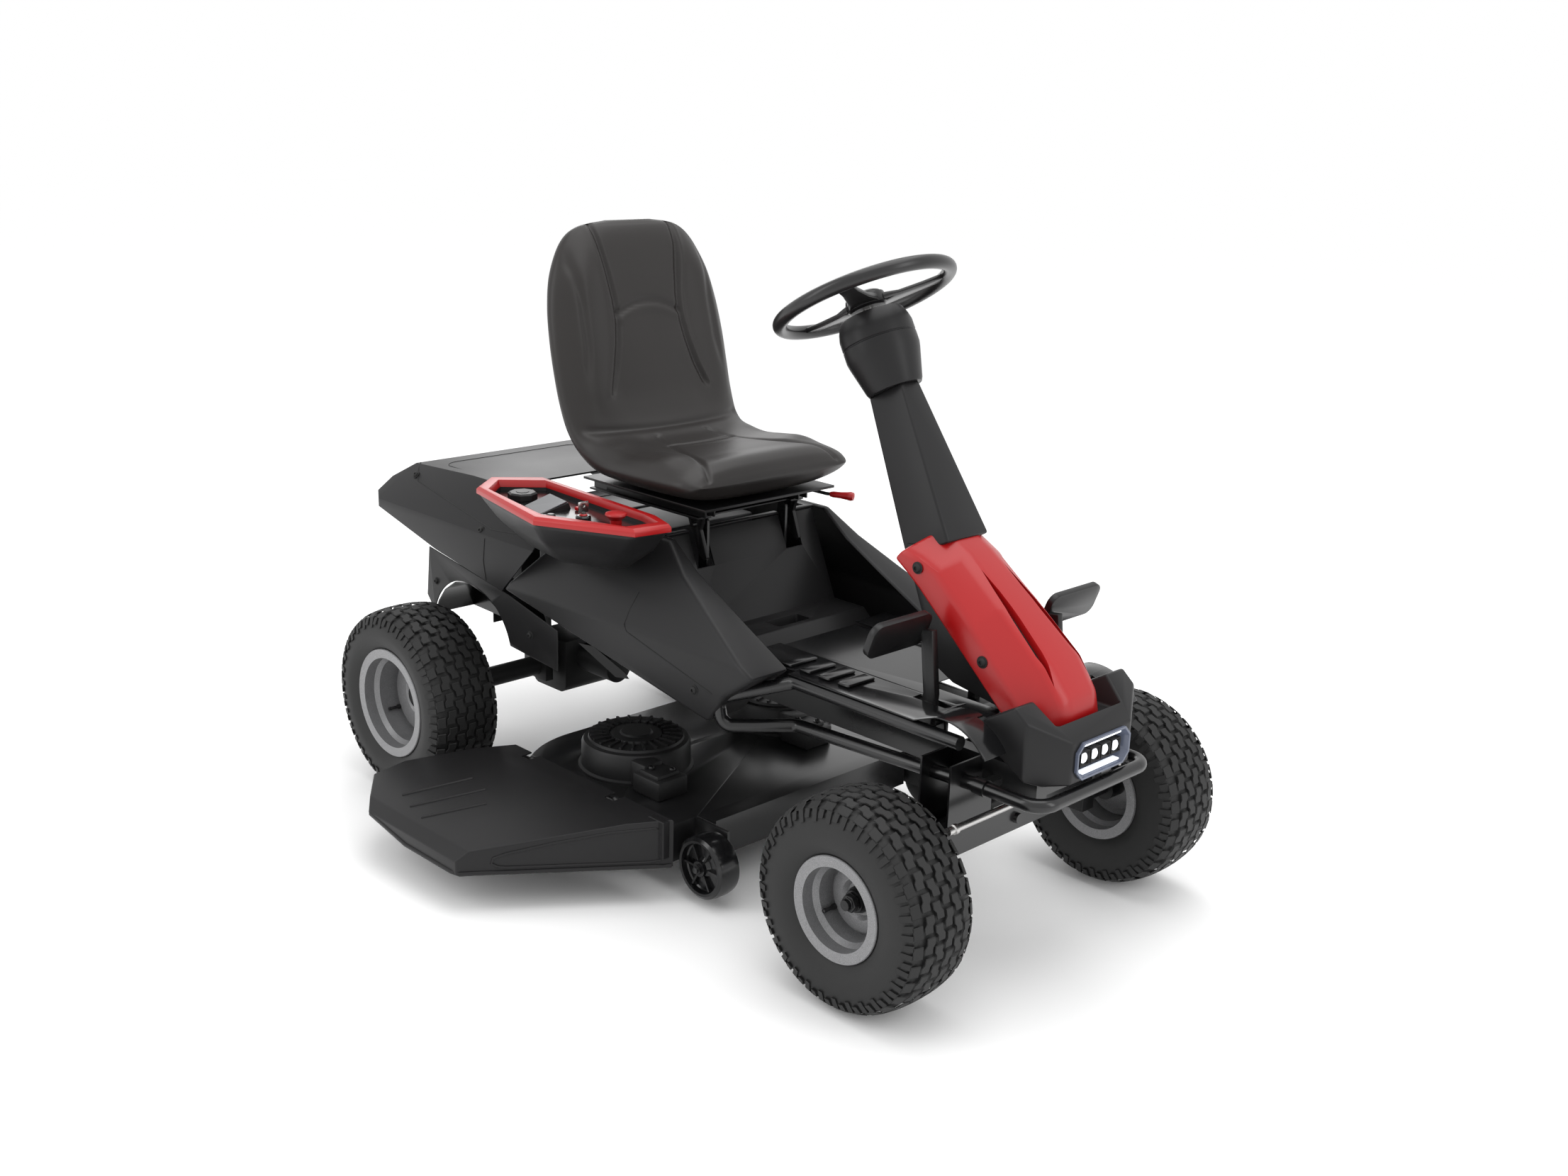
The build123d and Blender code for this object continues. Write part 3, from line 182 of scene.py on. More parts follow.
def tube(name, points, radius, sides=10, closed=False):
    """A round bar or groove line along the points, in millimetres."""
    curve = bpy.data.curves.new(name, "CURVE")
    curve.dimensions = "3D"
    curve.bevel_depth = radius / 1000
    curve.bevel_resolution = max(1, sides // 4)
    curve.use_fill_caps = not closed
    spline = curve.splines.new("POLY")
    spline.points.add(len(points) - 1)
    for corner, point in zip(spline.points, points):
        corner.co = (*at(*point), 1)
    spline.use_cyclic_u = closed
    obj = bpy.data.objects.new(name, curve)
    bpy.context.scene.collection.objects.link(obj)
    only(obj)
    bpy.ops.object.convert(target="MESH")
    return named(name)


def joined(name, *objs):
    """Several meshes as one piece."""
    deselect()
    for obj in objs:
        obj.select_set(True)
    bpy.context.view_layer.objects.active = objs[0]
    if len(objs) > 1:
        bpy.ops.object.join()
    return named(name)


def from_node(name, node, width, segments):
    """A rounded copy of a node: its loose triangles merged into faces, and its edges bevelled."""
    deselect()
    obj = NODES[node].copy()
    obj.data = NODES[node].data.copy()
    bpy.context.scene.collection.objects.link(obj)
    for key in list(obj.keys()):
        del obj[key]
    obj.parent = None
    obj.matrix_world = Matrix.Identity(4)
    obj.name = name
    obj.data.name = name
    obj.data.materials.clear()
    edit_all(obj)
    bpy.ops.mesh.remove_doubles(threshold=0.00002)
    bpy.ops.mesh.dissolve_limited(angle_limit=math.radians(1.0))
    object_mode()
    return smooth(round_edges(obj, width, segments))


def cut(obj, *tools):
    """Takes the tools' volume out of the piece."""
    for tool in tools:
        modify(obj, "BOOLEAN", object=tool, operation="DIFFERENCE", solver="EXACT")
        bpy.data.objects.remove(tool, do_unlink=True)
    return obj


def finish_piece(obj, body, material, nodes=()):
    """Gives a piece its material, its body and the nodes that it stands for."""
    obj.data.materials.clear()
    obj.data.materials.append(material)
    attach(obj, body)
    if nodes:
        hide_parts(*nodes)
    return obj

# ---- shared effects ----------------------------------------------------------------
def effect(name, inputs, outputs):
    """A new shader node group with these sockets; returns it with its in and out nodes."""
    group = bpy.data.node_groups.new(name, "ShaderNodeTree")
    for label, kind, value in inputs:
        socket = group.interface.new_socket(name=label, in_out="INPUT", socket_type=kind)
        if value is not None:
            socket.default_value = value
    for label, kind in outputs:
        group.interface.new_socket(name=label, in_out="OUTPUT", socket_type=kind)
    return group, group.nodes.new("NodeGroupInput"), group.nodes.new("NodeGroupOutput")


def added(nodes, kind, **values):
    """A new shader node with these inputs set; an underscore stands for a space in an input's name."""
    node = nodes.new("ShaderNode" + kind)
    for label, value in values.items():
        node.inputs[label.replace("_", " ")].default_value = value
    return node


def moulded_grain():
    """Fine moulded grain: a height and a faint mottling of the colour."""
    group, enter, leave = effect("moulded grain",
        [("Size", "NodeSocketFloat", 900.0), ("Mottle", "NodeSocketFloat", 0.15),
        ("Colour", "NodeSocketColor", (0.5, 0.5, 0.5, 1))],
        [("Colour", "NodeSocketColor"), ("Height", "NodeSocketFloat"), ("Gloss", "NodeSocketFloat")])
    nodes, links = group.nodes, group.links
    where = added(nodes, "TexCoord")
    fine = added(nodes, "TexNoise", Detail=3)
    wide = added(nodes, "TexNoise", Scale=6, Detail=4)
    links.new(where.outputs["Object"], fine.inputs["Vector"])
    links.new(where.outputs["Object"], wide.inputs["Vector"])
    links.new(enter.outputs["Size"], fine.inputs["Scale"])
    span = added(nodes, "MapRange", From_Min=0.3, From_Max=0.7, To_Min=0.72, To_Max=1.28)
    links.new(wide.outputs["Fac"], span.inputs["Value"])
    shade = added(nodes, "Mix")
    shade.data_type = "RGBA"
    shade.blend_type = "MULTIPLY"
    links.new(enter.outputs["Mottle"], shade.inputs["Factor"])
    links.new(enter.outputs["Colour"], shade.inputs["A"])
    links.new(span.outputs["Result"], shade.inputs["B"])
    links.new(shade.outputs["Result"], leave.inputs["Colour"])
    links.new(fine.outputs["Fac"], leave.inputs["Height"])
    gloss = added(nodes, "MapRange", To_Min=0.85, To_Max=1.15)
    links.new(wide.outputs["Fac"], gloss.inputs["Value"])
    links.new(gloss.outputs["Result"], leave.inputs["Gloss"])
    return group


def speckle():
    """Fine bright and dark speckle, as on silver powder coat."""
    group, enter, leave = effect("speckle", [("Size", "NodeSocketFloat", 1400.0),
        ("Dark", "NodeSocketColor", (0.2, 0.2, 0.2, 1)), ("Light", "NodeSocketColor", (0.6, 0.6, 0.6, 1))],
        [("Colour", "NodeSocketColor"), ("Height", "NodeSocketFloat")])
    nodes, links = group.nodes, group.links
    where = added(nodes, "TexCoord")
    grain = added(nodes, "TexNoise", Detail=2)
    links.new(where.outputs["Object"], grain.inputs["Vector"])
    links.new(enter.outputs["Size"], grain.inputs["Scale"])
    ramp = added(nodes, "MapRange", From_Min=0.38, From_Max=0.62)
    links.new(grain.outputs["Fac"], ramp.inputs["Value"])
    mix = added(nodes, "Mix")
    mix.data_type = "RGBA"
    links.new(ramp.outputs["Result"], mix.inputs["Factor"])
    links.new(enter.outputs["Dark"], mix.inputs["A"])
    links.new(enter.outputs["Light"], mix.inputs["B"])
    links.new(mix.outputs["Result"], leave.inputs["Colour"])
    links.new(ramp.outputs["Result"], leave.inputs["Height"])
    return group


def leather_grain():
    """The pebbled grain of seat vinyl: a height, and a colour mottled slowly by a broad noise."""
    group, enter, leave = effect("leather grain",
        [("Size", "NodeSocketFloat", 260.0), ("Colour", "NodeSocketColor", (0.1, 0.1, 0.1, 1))],
        [("Colour", "NodeSocketColor"), ("Height", "NodeSocketFloat")])
    nodes, links = group.nodes, group.links
    where = added(nodes, "TexCoord")
    cells = added(nodes, "TexVoronoi")
    cells.feature = "SMOOTH_F1"
    links.new(where.outputs["Object"], cells.inputs["Vector"])
    links.new(enter.outputs["Size"], cells.inputs["Scale"])
    wide = added(nodes, "TexNoise", Scale=9)
    links.new(where.outputs["Object"], wide.inputs["Vector"])
    span = added(nodes, "MapRange", To_Min=0.86, To_Max=1.16)
    links.new(wide.outputs["Fac"], span.inputs["Value"])
    shade = added(nodes, "Mix")
    shade.data_type = "RGBA"
    shade.blend_type = "MULTIPLY"
    shade.inputs["Factor"].default_value = 1
    links.new(enter.outputs["Colour"], shade.inputs["A"])
    links.new(span.outputs["Result"], shade.inputs["B"])
    links.new(shade.outputs["Result"], leave.inputs["Colour"])
    links.new(cells.outputs["Distance"], leave.inputs["Height"])
    return group


GRAIN = moulded_grain()
SPECKLE = speckle()
LEATHER = leather_grain()


def material(name, colour, roughness, metallic=0.0, coat=0.0, coat_roughness=0.1, group=GRAIN, size=900.0,
        mottle=0.15, bump=0.03, distance=0.0003, specular=0.5, second=None):
    """A Principled material whose colour, height and gloss come from a shared effect."""
    made = bpy.data.materials.new(name)
    made.use_nodes = True
    nodes, links = made.node_tree.nodes, made.node_tree.links
    shader = nodes["Principled BSDF"]
    for label, value in (("Roughness", roughness), ("Metallic", metallic), ("Coat Weight", coat),
            ("Coat Roughness", coat_roughness), ("Specular IOR Level", specular)):
        shader.inputs[label].default_value = value
    source = added(nodes, "Group")
    source.node_tree = group
    source.inputs["Size"].default_value = size
    if "Mottle" in source.inputs:
        source.inputs["Mottle"].default_value = mottle
    if "Colour" in source.inputs:
        source.inputs["Colour"].default_value = (*colour, 1)
    if "Dark" in source.inputs:
        source.inputs["Dark"].default_value = (*colour, 1)
        source.inputs["Light"].default_value = (*second, 1)
    links.new(source.outputs["Colour"], shader.inputs["Base Color"])
    if bump:
        relief = added(nodes, "Bump", Strength=bump, Distance=distance)
        links.new(source.outputs["Height"], relief.inputs["Height"])
        links.new(relief.outputs["Normal"], shader.inputs["Normal"])
    if "Gloss" in source.outputs:
        product = added(nodes, "Math")
        product.operation = "MULTIPLY"
        product.inputs[1].default_value = roughness
        links.new(source.outputs["Gloss"], product.inputs[0])
        links.new(product.outputs["Value"], shader.inputs["Roughness"])
    return made


CHARCOAL = material("charcoal moulding", (0.0105, 0.0102, 0.0108), 0.40, size=1500, bump=0.08, specular=0.28)
GLOSS_BLACK = material("gloss black moulding", (0.0060, 0.0060, 0.0065), 0.20, coat=0.10, coat_roughness=0.08,
    bump=0.01, specular=0.4)
FRAME_BLACK = material("black frame paint", (0.0045, 0.0045, 0.005), 0.28, coat=0.15, coat_roughness=0.15,
    size=500, bump=0.05)
DECK_BLACK = material("black deck paint", (0.0095, 0.0095, 0.010), 0.30, coat=0.15, coat_roughness=0.2,
    size=420, bump=0.06)
RED = material("red moulding", (0.37, 0.0032, 0.0042), 0.36, coat=0.10, coat_roughness=0.12, size=700,
    mottle=0.08, bump=0.02)
RUBBER = material("tyre rubber", (0.0105, 0.0105, 0.0105), 0.58, size=700, mottle=0.35, bump=0.12,
    specular=0.4)
GRIP = material("grip rubber", (0.010, 0.0095, 0.010), 0.30, size=1100, bump=0.05)
# near black: the real colour of the screws, lamp cells and seam lines, and also painted shade on the sheets
# in the hood slits, the panel slots and the strap holes
BLACK_PARTS_AND_PAINTED_SHADE = material("dark gap", (0.004, 0.004, 0.004), 0.7, bump=0.0)
MECHANISM = material("black steel parts", (0.008, 0.008, 0.0085), 0.34, metallic=0.3, size=600, mottle=0.3,
    bump=0.06)
CAST = material("dark casting", (0.014, 0.014, 0.0145), 0.5, metallic=0.4, size=380, mottle=0.4, bump=0.25)
BATTERY = material("battery case", (0.015, 0.015, 0.017), 0.5, size=900, bump=0.1)
STEEL = material("turned steel", (0.55, 0.54, 0.53), 0.26, metallic=1.0, size=260, mottle=0.25, bump=0.03)
BLADE = material("rolled blade steel", (0.16, 0.16, 0.17), 0.42, metallic=0.9, size=240, mottle=0.4,
    bump=0.06)
RIM = material("speckled rim paint", (0.09, 0.09, 0.095), 0.40, metallic=0.35, group=SPECKLE, size=2200,
    bump=0.15, distance=0.0002, second=(0.34, 0.34, 0.345), coat=0.1)
VINYL = material("seat vinyl", (0.0140, 0.0118, 0.0110), 0.44, group=LEATHER, size=520, bump=0.16,
    distance=0.0004, specular=0.4)
SCREEN = material("dark display", (0.02, 0.022, 0.03), 0.12, coat=0.8, coat_roughness=0.03, bump=0.0)


def lamp_material(name, colour, strength):
    """A glowing finish: the lamp's own light on its chips and strips, and a painted glow of lamp light on its
    reflector.
    """
    made = bpy.data.materials.new(name)
    made.use_nodes = True
    shader = made.node_tree.nodes["Principled BSDF"]
    shader.inputs["Base Color"].default_value = (*colour, 1)
    shader.inputs["Roughness"].default_value = 0.2
    shader.inputs["Emission Color"].default_value = (*colour, 1)
    shader.inputs["Emission Strength"].default_value = strength
    return made


LED = lamp_material("lamp chips", (0.90, 0.94, 1.0), 0.75)
# the reflector is no light source: its faint bluish emission is painted lamp light
REFLECTOR_PAINTED_GLOW = lamp_material("lamp reflector painted glow", (0.10, 0.115, 0.16), 0.08)

# ---- camera, light and floor -------------------------------------------------------
LENS_MM = 38.26
CAMERA_AT = Vector((2.3521, -2.1533, 1.4650))
YAW, PITCH, ROLL = math.radians(44.59), math.radians(16.57), math.radians(1.93)
back = Vector((math.sin(YAW) * math.cos(PITCH), -math.cos(YAW) * math.cos(PITCH), math.sin(PITCH)))
right = Vector((0, 0, 1)).cross(back).normalized()
up = back.cross(right)
rolled_right = math.cos(ROLL) * right + math.sin(ROLL) * up
rolled_up = -math.sin(ROLL) * right + math.cos(ROLL) * up
camera_data = bpy.data.cameras.new("camera")
camera_data.lens = LENS_MM
camera_data.sensor_width = 36
camera = bpy.data.objects.new("camera", camera_data)
bpy.context.scene.collection.objects.link(camera)
turn = Matrix((rolled_right, rolled_up, back)).transposed().to_4x4()
camera.matrix_world = Matrix.Translation(CAMERA_AT) @ turn
bpy.context.scene.camera = camera


def area_light(name, where, aim, size, power):
    """A rectangular studio light at a place in metres, turned towards its aim."""
    data = bpy.data.lights.new(name, "AREA")
    data.shape = "RECTANGLE"
    data.size, data.size_y = size
    data.energy = power
    light = bpy.data.objects.new(name, data)
    bpy.context.scene.collection.objects.link(light)
    light.location = where
    light.rotation_euler = (Vector(where) - Vector(aim)).to_track_quat("Z", "Y").to_euler()


area_light("overhead softbox", (0.2, 0.3, 3.6), (0, 0, 0.4), (3.4, 2.6), 46)
area_light("left strip", (-1.0, -3.0, 2.2), (0, 0, 0.6), (0.9, 3.0), 24)
area_light("front strip", (3.2, 0.6, 1.9), (0, 0, 0.6), (0.8, 2.4), 16)
area_light("rear edge light", (-2.6, 1.8, 2.4), (0, 0, 0.7), (1.2, 2.4), 20)

world = bpy.data.worlds.new("studio")
bpy.context.scene.world = world
world.use_nodes = True
world.node_tree.nodes["Background"].inputs["Color"].default_value = (1.0, 1.0, 1.0, 1)
world.node_tree.nodes["Background"].inputs["Strength"].default_value = 1.0
bpy.context.scene.view_settings.view_transform = "Standard"

deselect()
bpy.ops.mesh.primitive_plane_add(size=40, location=(0, 0, -0.001))
floor = named("floor")
place(floor)
pale = bpy.data.materials.new("pale floor")
pale.use_nodes = True
pale.node_tree.nodes["Principled BSDF"].inputs["Base Color"].default_value = (1.0, 1.0, 1.0, 1)
pale.node_tree.nodes["Principled BSDF"].inputs["Roughness"].default_value = 0.85
pale.node_tree.nodes["Principled BSDF"].inputs["Specular IOR Level"].default_value = 0.0
floor.data.materials.append(pale)

# ---- wheels ------------------------------------------------------------------------
def crown(radius, half, across):
    """The tyre's crown radius in millimetres this far across: round, then dropping at the shoulder."""
    part = abs(across) / half
    return radius - 7 * min(1, part / 0.8) ** 2.4 - max(0, part - 0.8) * 60


def wrap(mesh_points, middle, radius, half, turn_by):
    """Bends points (along, across, height) round the tyre, in millimetres."""
    placed = []
    for along, across, height in mesh_points:
        reach = crown(radius, half, across) + height
        angle = turn_by + along / radius
        placed.append(middle + Vector((math.sin(angle) * reach, across, math.cos(angle) * reach)) / 1000)
    return placed


def tread_block(outline):
    """A block standing on its outline: the corners below, then the same corners a little inside on top."""
    mid_u = sum(u for u, _ in outline) / len(outline)
    mid_v = sum(v for _, v in outline) / len(outline)
    below = [(u, v, -1.5) for u, v in outline]
    above = [(mid_u + (u - mid_u) * 0.90, mid_v + (v - mid_v) * 0.94, 0.0) for u, v in outline]
    return below + above


def zigzag(mid_u, mid_v, length, width, lean):
    """An S-shaped block: three short runs, the middle one leaning across."""
    a, b = width / 2, length / 2
    return [(mid_u - b, mid_v - a - lean), (mid_u - b * 0.2, mid_v - a - lean),
        (mid_u + b * 0.2, mid_v - a + lean), (mid_u + b, mid_v - a + lean), (mid_u + b, mid_v + a + lean),
        (mid_u + b * 0.2, mid_v + a + lean), (mid_u - b * 0.2, mid_v + a - lean),
        (mid_u - b, mid_v + a - lean)]


def make_tyre(name, centre, radius, width, flange, body):
    """A tyre: a turned carcass with tread blocks standing on its crown and lugs down its shoulders."""
    half = width / 2
    depth = 7.0
    bead = flange - 15
    carcass = [(bead, half * 0.78), (flange + 1, half * 0.84), (flange + 6, half * 0.90),
        (flange + 22, half * 0.985), ((bead + radius) / 2, half), (radius - 34, half * 0.975),
        (radius - 22, half * 0.93), (radius - 12 - depth * 0.4, half * 0.84),
        (crown(radius, half, half * 0.7) - depth, half * 0.7),
        (crown(radius, half, half * 0.4) - depth, half * 0.4), (radius - depth, 0)]
    rings = carcass + [(r, -d) for r, d in reversed(carcass[:-1])]
    rings += [(bead - 3, -half * 0.5), (bead - 3, half * 0.5)]
    base = turned(name, rings, centre, (0, 1, 0), 96)
    middle = at(*centre)
    count = 34 if radius > 195 else 32
    pitch = 2 * math.pi * radius / count
    vertices, faces = [], []

    def stand(outline, turn_by):
        first = len(vertices)
        points = tread_block(outline)
        vertices.extend(wrap(points, middle, radius, half, turn_by))
        n = len(outline)
        faces.append([first + n + k for k in range(n)])
        faces.extend([first + k, first + (k + 1) % n, first + n + (k + 1) % n, first + n + k]
            for k in range(n))

    columns = 5
    column_pitch = width * 0.70 / columns
    for step in range(count):
        for column in range(columns):
            across = (column - (columns - 1) / 2) * column_pitch
            shift = 0.5 if column % 2 else 0.0
            lean = 2.4 if column % 2 else -2.4
            outline = zigzag(0, across, pitch * 0.80, column_pitch * 0.74, lean)
            stand(outline, (step + shift) * pitch / radius)
        for hand in (-1, 1):
            inner, outer = hand * width * 0.365, hand * width * 0.455
            outline = [(-pitch * 0.34, inner), (pitch * 0.30, inner), (pitch * 0.36, outer),
                (-pitch * 0.28, outer)]
            stand(outline, (step + 0.25) * pitch / radius)
    # shoulder lugs run down the wall
    for step in range(count * 2):
        for hand in (-1, 1):
            angle = step * pitch / radius / 2
            length = 18 if step % 2 else 11
            spot = [(radius - 15, half * 0.90), (radius - 17 - length, half * 0.985)]
            span = pitch * 0.16
            first = len(vertices)
            for lift in (-2.0, 2.2):
                for r, d in spot:
                    for edge in (-1, 1):
                        a = angle + edge * span / radius
                        vertices.append(middle + Vector((math.sin(a) * r, hand * (d + lift), math.cos(a) * r))
                            / 1000)
            quads = [(4, 5, 7, 6), (0, 1, 5, 4), (2, 6, 7, 3), (0, 4, 6, 2), (1, 3, 7, 5)]
            faces.extend([first + k for k in quad] for quad in quads)
    blocks = built(name + "_tread", vertices, faces)
    edit_all(blocks)
    bpy.ops.mesh.normals_make_consistent(inside=False)
    object_mode()
    whole = smooth(joined(name, base, blocks), 38)
    return finish_piece(whole, body, RUBBER, [name.replace("_rubber", "")])


def make_rim(name, centre, width, flange, hand, body, dish, hub_radius):
    """A pressed rim: rolled flanges, a stepped well and a dished disc, with its valve."""
    half = width * 0.42 + 0.3
    seat = flange - 15.5
    outer = [(flange - 1, half + 4.5), (flange + 0.3, half + 3), (flange + 0.3, half + 0.5),
        (flange - 4, half - 0.3)]
    well = [(seat + 0.0, half - 2), (seat - 1, half - 18), (seat - 9, half - 26), (seat - 9, -half + 26),
        (seat - 1, 18 - half), (seat, 2 - half)]
    inner = [(flange - 4, 0.3 - half), (flange + 0.3, -half - 0.5), (flange - 1, -half - 4.5),
        (seat - 4, -half - 3), (seat - 4.5, 20 - half), (seat - 12, 29 - half)]
    mouth = [(seat - 12, half - 29), (seat - 4.5, half - 20), (seat - 4, half + 3)]
    profile = outer + well + inner + mouth
    barrel = turned(name + "_barrel", facing(hand, *profile), centre, (0, 1, 0), 72)
    face = [(seat - 11.8, dish - 6), (seat - 16, dish - 4), (seat - 20, dish + 2), (seat - 26, dish + 4),
        (hub_radius + 14, dish + 3), (hub_radius + 7, dish - 4), (0.5, dish - 4), (0.5, dish - 8),
        (hub_radius + 8, dish - 8), (seat - 24, dish - 2), (seat - 15, dish - 10)]
    disc = turned(name + "_disc", facing(hand, *face), centre, (0, 1, 0), 72)
    stem_angle = math.radians(-58)
    stem_r = seat - 18
    stem = Vector((math.sin(stem_angle) * stem_r, 0, -math.cos(stem_angle) * stem_r))
    spot = (centre[0] + stem.x, centre[1], centre[2] + stem.z)
    valve = turned(name + "_valve", facing(hand, (0.4, dish + 2), (5, dish + 2), (5, dish + 9),
        (3.2, dish + 12), (3.2, dish + 24), (3.8, dish + 25), (3.8, dish + 31), (0.4, dish + 32)), spot,
        (0, 1, 0), 14)
    whole = joined(name, barrel, disc)
    smooth(whole, 34)
    finish_piece(whole, body, RIM, [name.replace("_pressing", "")])
    finish_piece(smooth(valve), body, GRIP)


# front and rear axle: tyre radius and width, flange radius, half track, all in millimetres
WHEELBASE = 1250
FRONT_RADIUS, FRONT_WIDTH, FRONT_FLANGE, FRONT_TRACK = 187.5, 158, 93, 365
REAR_RADIUS, REAR_WIDTH, REAR_FLANGE, REAR_TRACK = 200, 160, 117, 415
for side_name, hand in (("left", 1), ("right", -1)):
    front = (WHEELBASE, hand * FRONT_TRACK, FRONT_RADIUS)
    rear = (0, hand * REAR_TRACK, REAR_RADIUS)
    make_tyre(f"front_tyre_{side_name}_rubber", front, FRONT_RADIUS, FRONT_WIDTH, FRONT_FLANGE,
        f"front_wheel_{side_name}")
    make_tyre(f"rear_tyre_{side_name}_rubber", rear, REAR_RADIUS, REAR_WIDTH, REAR_FLANGE,
        f"rear_wheel_{side_name}")
    make_rim(f"front_rim_{side_name}_pressing", front, FRONT_WIDTH, FRONT_FLANGE, hand,
        f"front_wheel_{side_name}", 10, 22)
    make_rim(f"rear_rim_{side_name}_pressing", rear, REAR_WIDTH, REAR_FLANGE, hand, f"rear_wheel_{side_name}",
        -2, 30)
    # the hub, its bearing and the axle nut
    hub = turned(f"front_hub_{side_name}", facing(hand, (9.6, -40), (22, -40), (23, 14), (20, 22), (19, 24),
        (9.6, 24)), front, (0, 1, 0), 40)
    finish_piece(smooth(hub), f"front_wheel_{side_name}", MECHANISM)
    nut = turned(f"axle_nut_{side_name}", facing(hand, (0.5, 25), (17, 25), (17, 28), (12, 28.5), (12, 38),
        (9, 40), (9, 46), (0.5, 47)), front, (0, 1, 0), 6)
    finish_piece(smooth(nut), f"knuckle_{side_name}", MECHANISM)
    boss = turned(f"rear_hub_{side_name}", facing(hand, (0.5, -2), (27, -2), (27, 6), (22, 9), (12, 9),
        (12, 14), (0.5, 15)), rear, (0, 1, 0), 40)
    finish_piece(smooth(boss), f"rear_wheel_{side_name}", MECHANISM)

# ---- shapes that several pieces share ----------------------------------------------
def lofted(name, rings):
    """A closed solid through rings of as many points each, given in the frame."""
    count = len(rings[0])
    vertices = [point for ring in rings for point in ring]
    faces = [list(range(count))[::-1], [(len(rings) - 1) * count + k for k in range(count)]]
    for row in range(len(rings) - 1):
        for k in range(count):
            after = (k + 1) % count
            faces.append([row * count + k, row * count + after, (row + 1) * count + after,
                (row + 1) * count + k])
    return outwards(built(name, vertices, faces))


def sliced(obj, point, normal):
    """Cuts off what lies beyond the plane, given in millimetres, and closes the cut."""
    edit_all(obj)
    bpy.ops.mesh.bisect(plane_co=at(*point), plane_no=Vector(normal), use_fill=True, clear_outer=True)
    object_mode()
    return outwards(obj)


def walled(obj, thickness, drop):
    """Takes away the faces that drop() picks and gives the rest a wall inwards."""
    only(obj)
    bpy.ops.object.mode_set(mode="EDIT")
    bpy.ops.mesh.select_all(action="DESELECT")
    object_mode()
    for polygon in obj.data.polygons:
        polygon.select = drop(polygon.center, polygon.normal)
    bpy.ops.object.mode_set(mode="EDIT")
    bpy.ops.mesh.delete(type="FACE")
    object_mode()
    return modify(obj, "SOLIDIFY", thickness=thickness / 1000, offset=-1, use_rim=True, use_even_offset=True)


def slab(name, x, y, z):
    """A block between (low, high) limits in millimetres, for cutting or to be rounded."""
    return prism(name, [at(x[0], y[0], z[0]), at(x[1], y[0], z[0]), at(x[1], y[1], z[0]),
        at(x[0], y[1], z[0])], Vector((0, 0, (z[1] - z[0]) / 1000)))


def screw(name, where, outward, radius=8.5):
    """A domed screw with a hexagon socket on its washer."""
    head = turned(name, [(0.3, -1), (radius + 2.5, -1), (radius + 2.5, 0.8), (radius, 1.2), (radius, 2.4),
        (radius * 0.86, 4.4), (radius * 0.55, 5.6), (radius * 0.42, 5.7), (radius * 0.36, 3.2), (0.3, 3.2)],
        where, outward, 20)
    return smooth(head, 40)


def worn(name, node, body, material, width, segments):
    """A node with its edges rounded, in its finish."""
    return finish_piece(from_node(name, node, width, segments), body, material, [node])

# ---- seat --------------------------------------------------------------------------
# each row: the front face (x, z), the rear face (x, z) and the half width
SEAT_ROWS = [(196, 1202, 184, 1202, 60), (214, 1192, 164, 1190, 128), (232, 1160, 151, 1162, 170),
    (249, 1102, 153, 1102, 203), (265, 1035, 165, 1040, 220), (283, 965, 180, 972, 227),
    (299, 900, 196, 905, 228), (316, 848, 212, 840, 226), (341, 806, 230, 785, 222),
    (380, 789, 258, 738, 217), (440, 783, 312, 706, 217), (500, 786, 420, 700, 223),
    (560, 790, 530, 701, 228), (606, 788, 602, 705, 226), (634, 775, 630, 714, 216),
    (648, 758, 647, 734, 201), (652, 748, 652, 743, 190)]


def between(rows, position):
    """A smooth value between rows, by a Catmull-Rom curve."""
    first = min(int(position), len(rows) - 2)
    part = position - first
    a, b, c, d = (rows[max(0, min(len(rows) - 1, first + k))] for k in (-1, 0, 1, 2))
    return [0.5 * (2 * q + (r - p) * part + (2 * p - 5 * q + 4 * r - s) * part ** 2 + (3 * q - p - 3 * r + s)
        * part ** 3) for p, q, r, s in zip(a, b, c, d)]


def ease(low, high, value):
    """0 below low, 1 above high, and a soft step between."""
    part = max(0.0, min(1.0, (value - low) / (high - low)))
    return part * part * (3 - 2 * part)


def line_at(points, value):
    """The second number of the points at this first number, in straight steps."""
    for (a, p), (b, q) in zip(points, points[1:]):
        if a <= value <= b or b <= value <= a:
            return p + (q - p) * (value - a) / (b - a)
    return points[0][1] if abs(value - points[0][0]) < abs(value - points[-1][0]) else points[-1][1]


def dent(distance, width):
    """A bell of height 1 at no distance."""
    return math.exp(-(distance / width) ** 2)


LONG_GROOVE = [(865, 126), (910, 108), (960, 93), (1010, 84), (1050, 85), (1100, 92), (1150, 101),
    (1192, 104)]
OUTER_CREASE = [(880, 184), (960, 172), (1040, 170), (1120, 176), (1150, 172)]


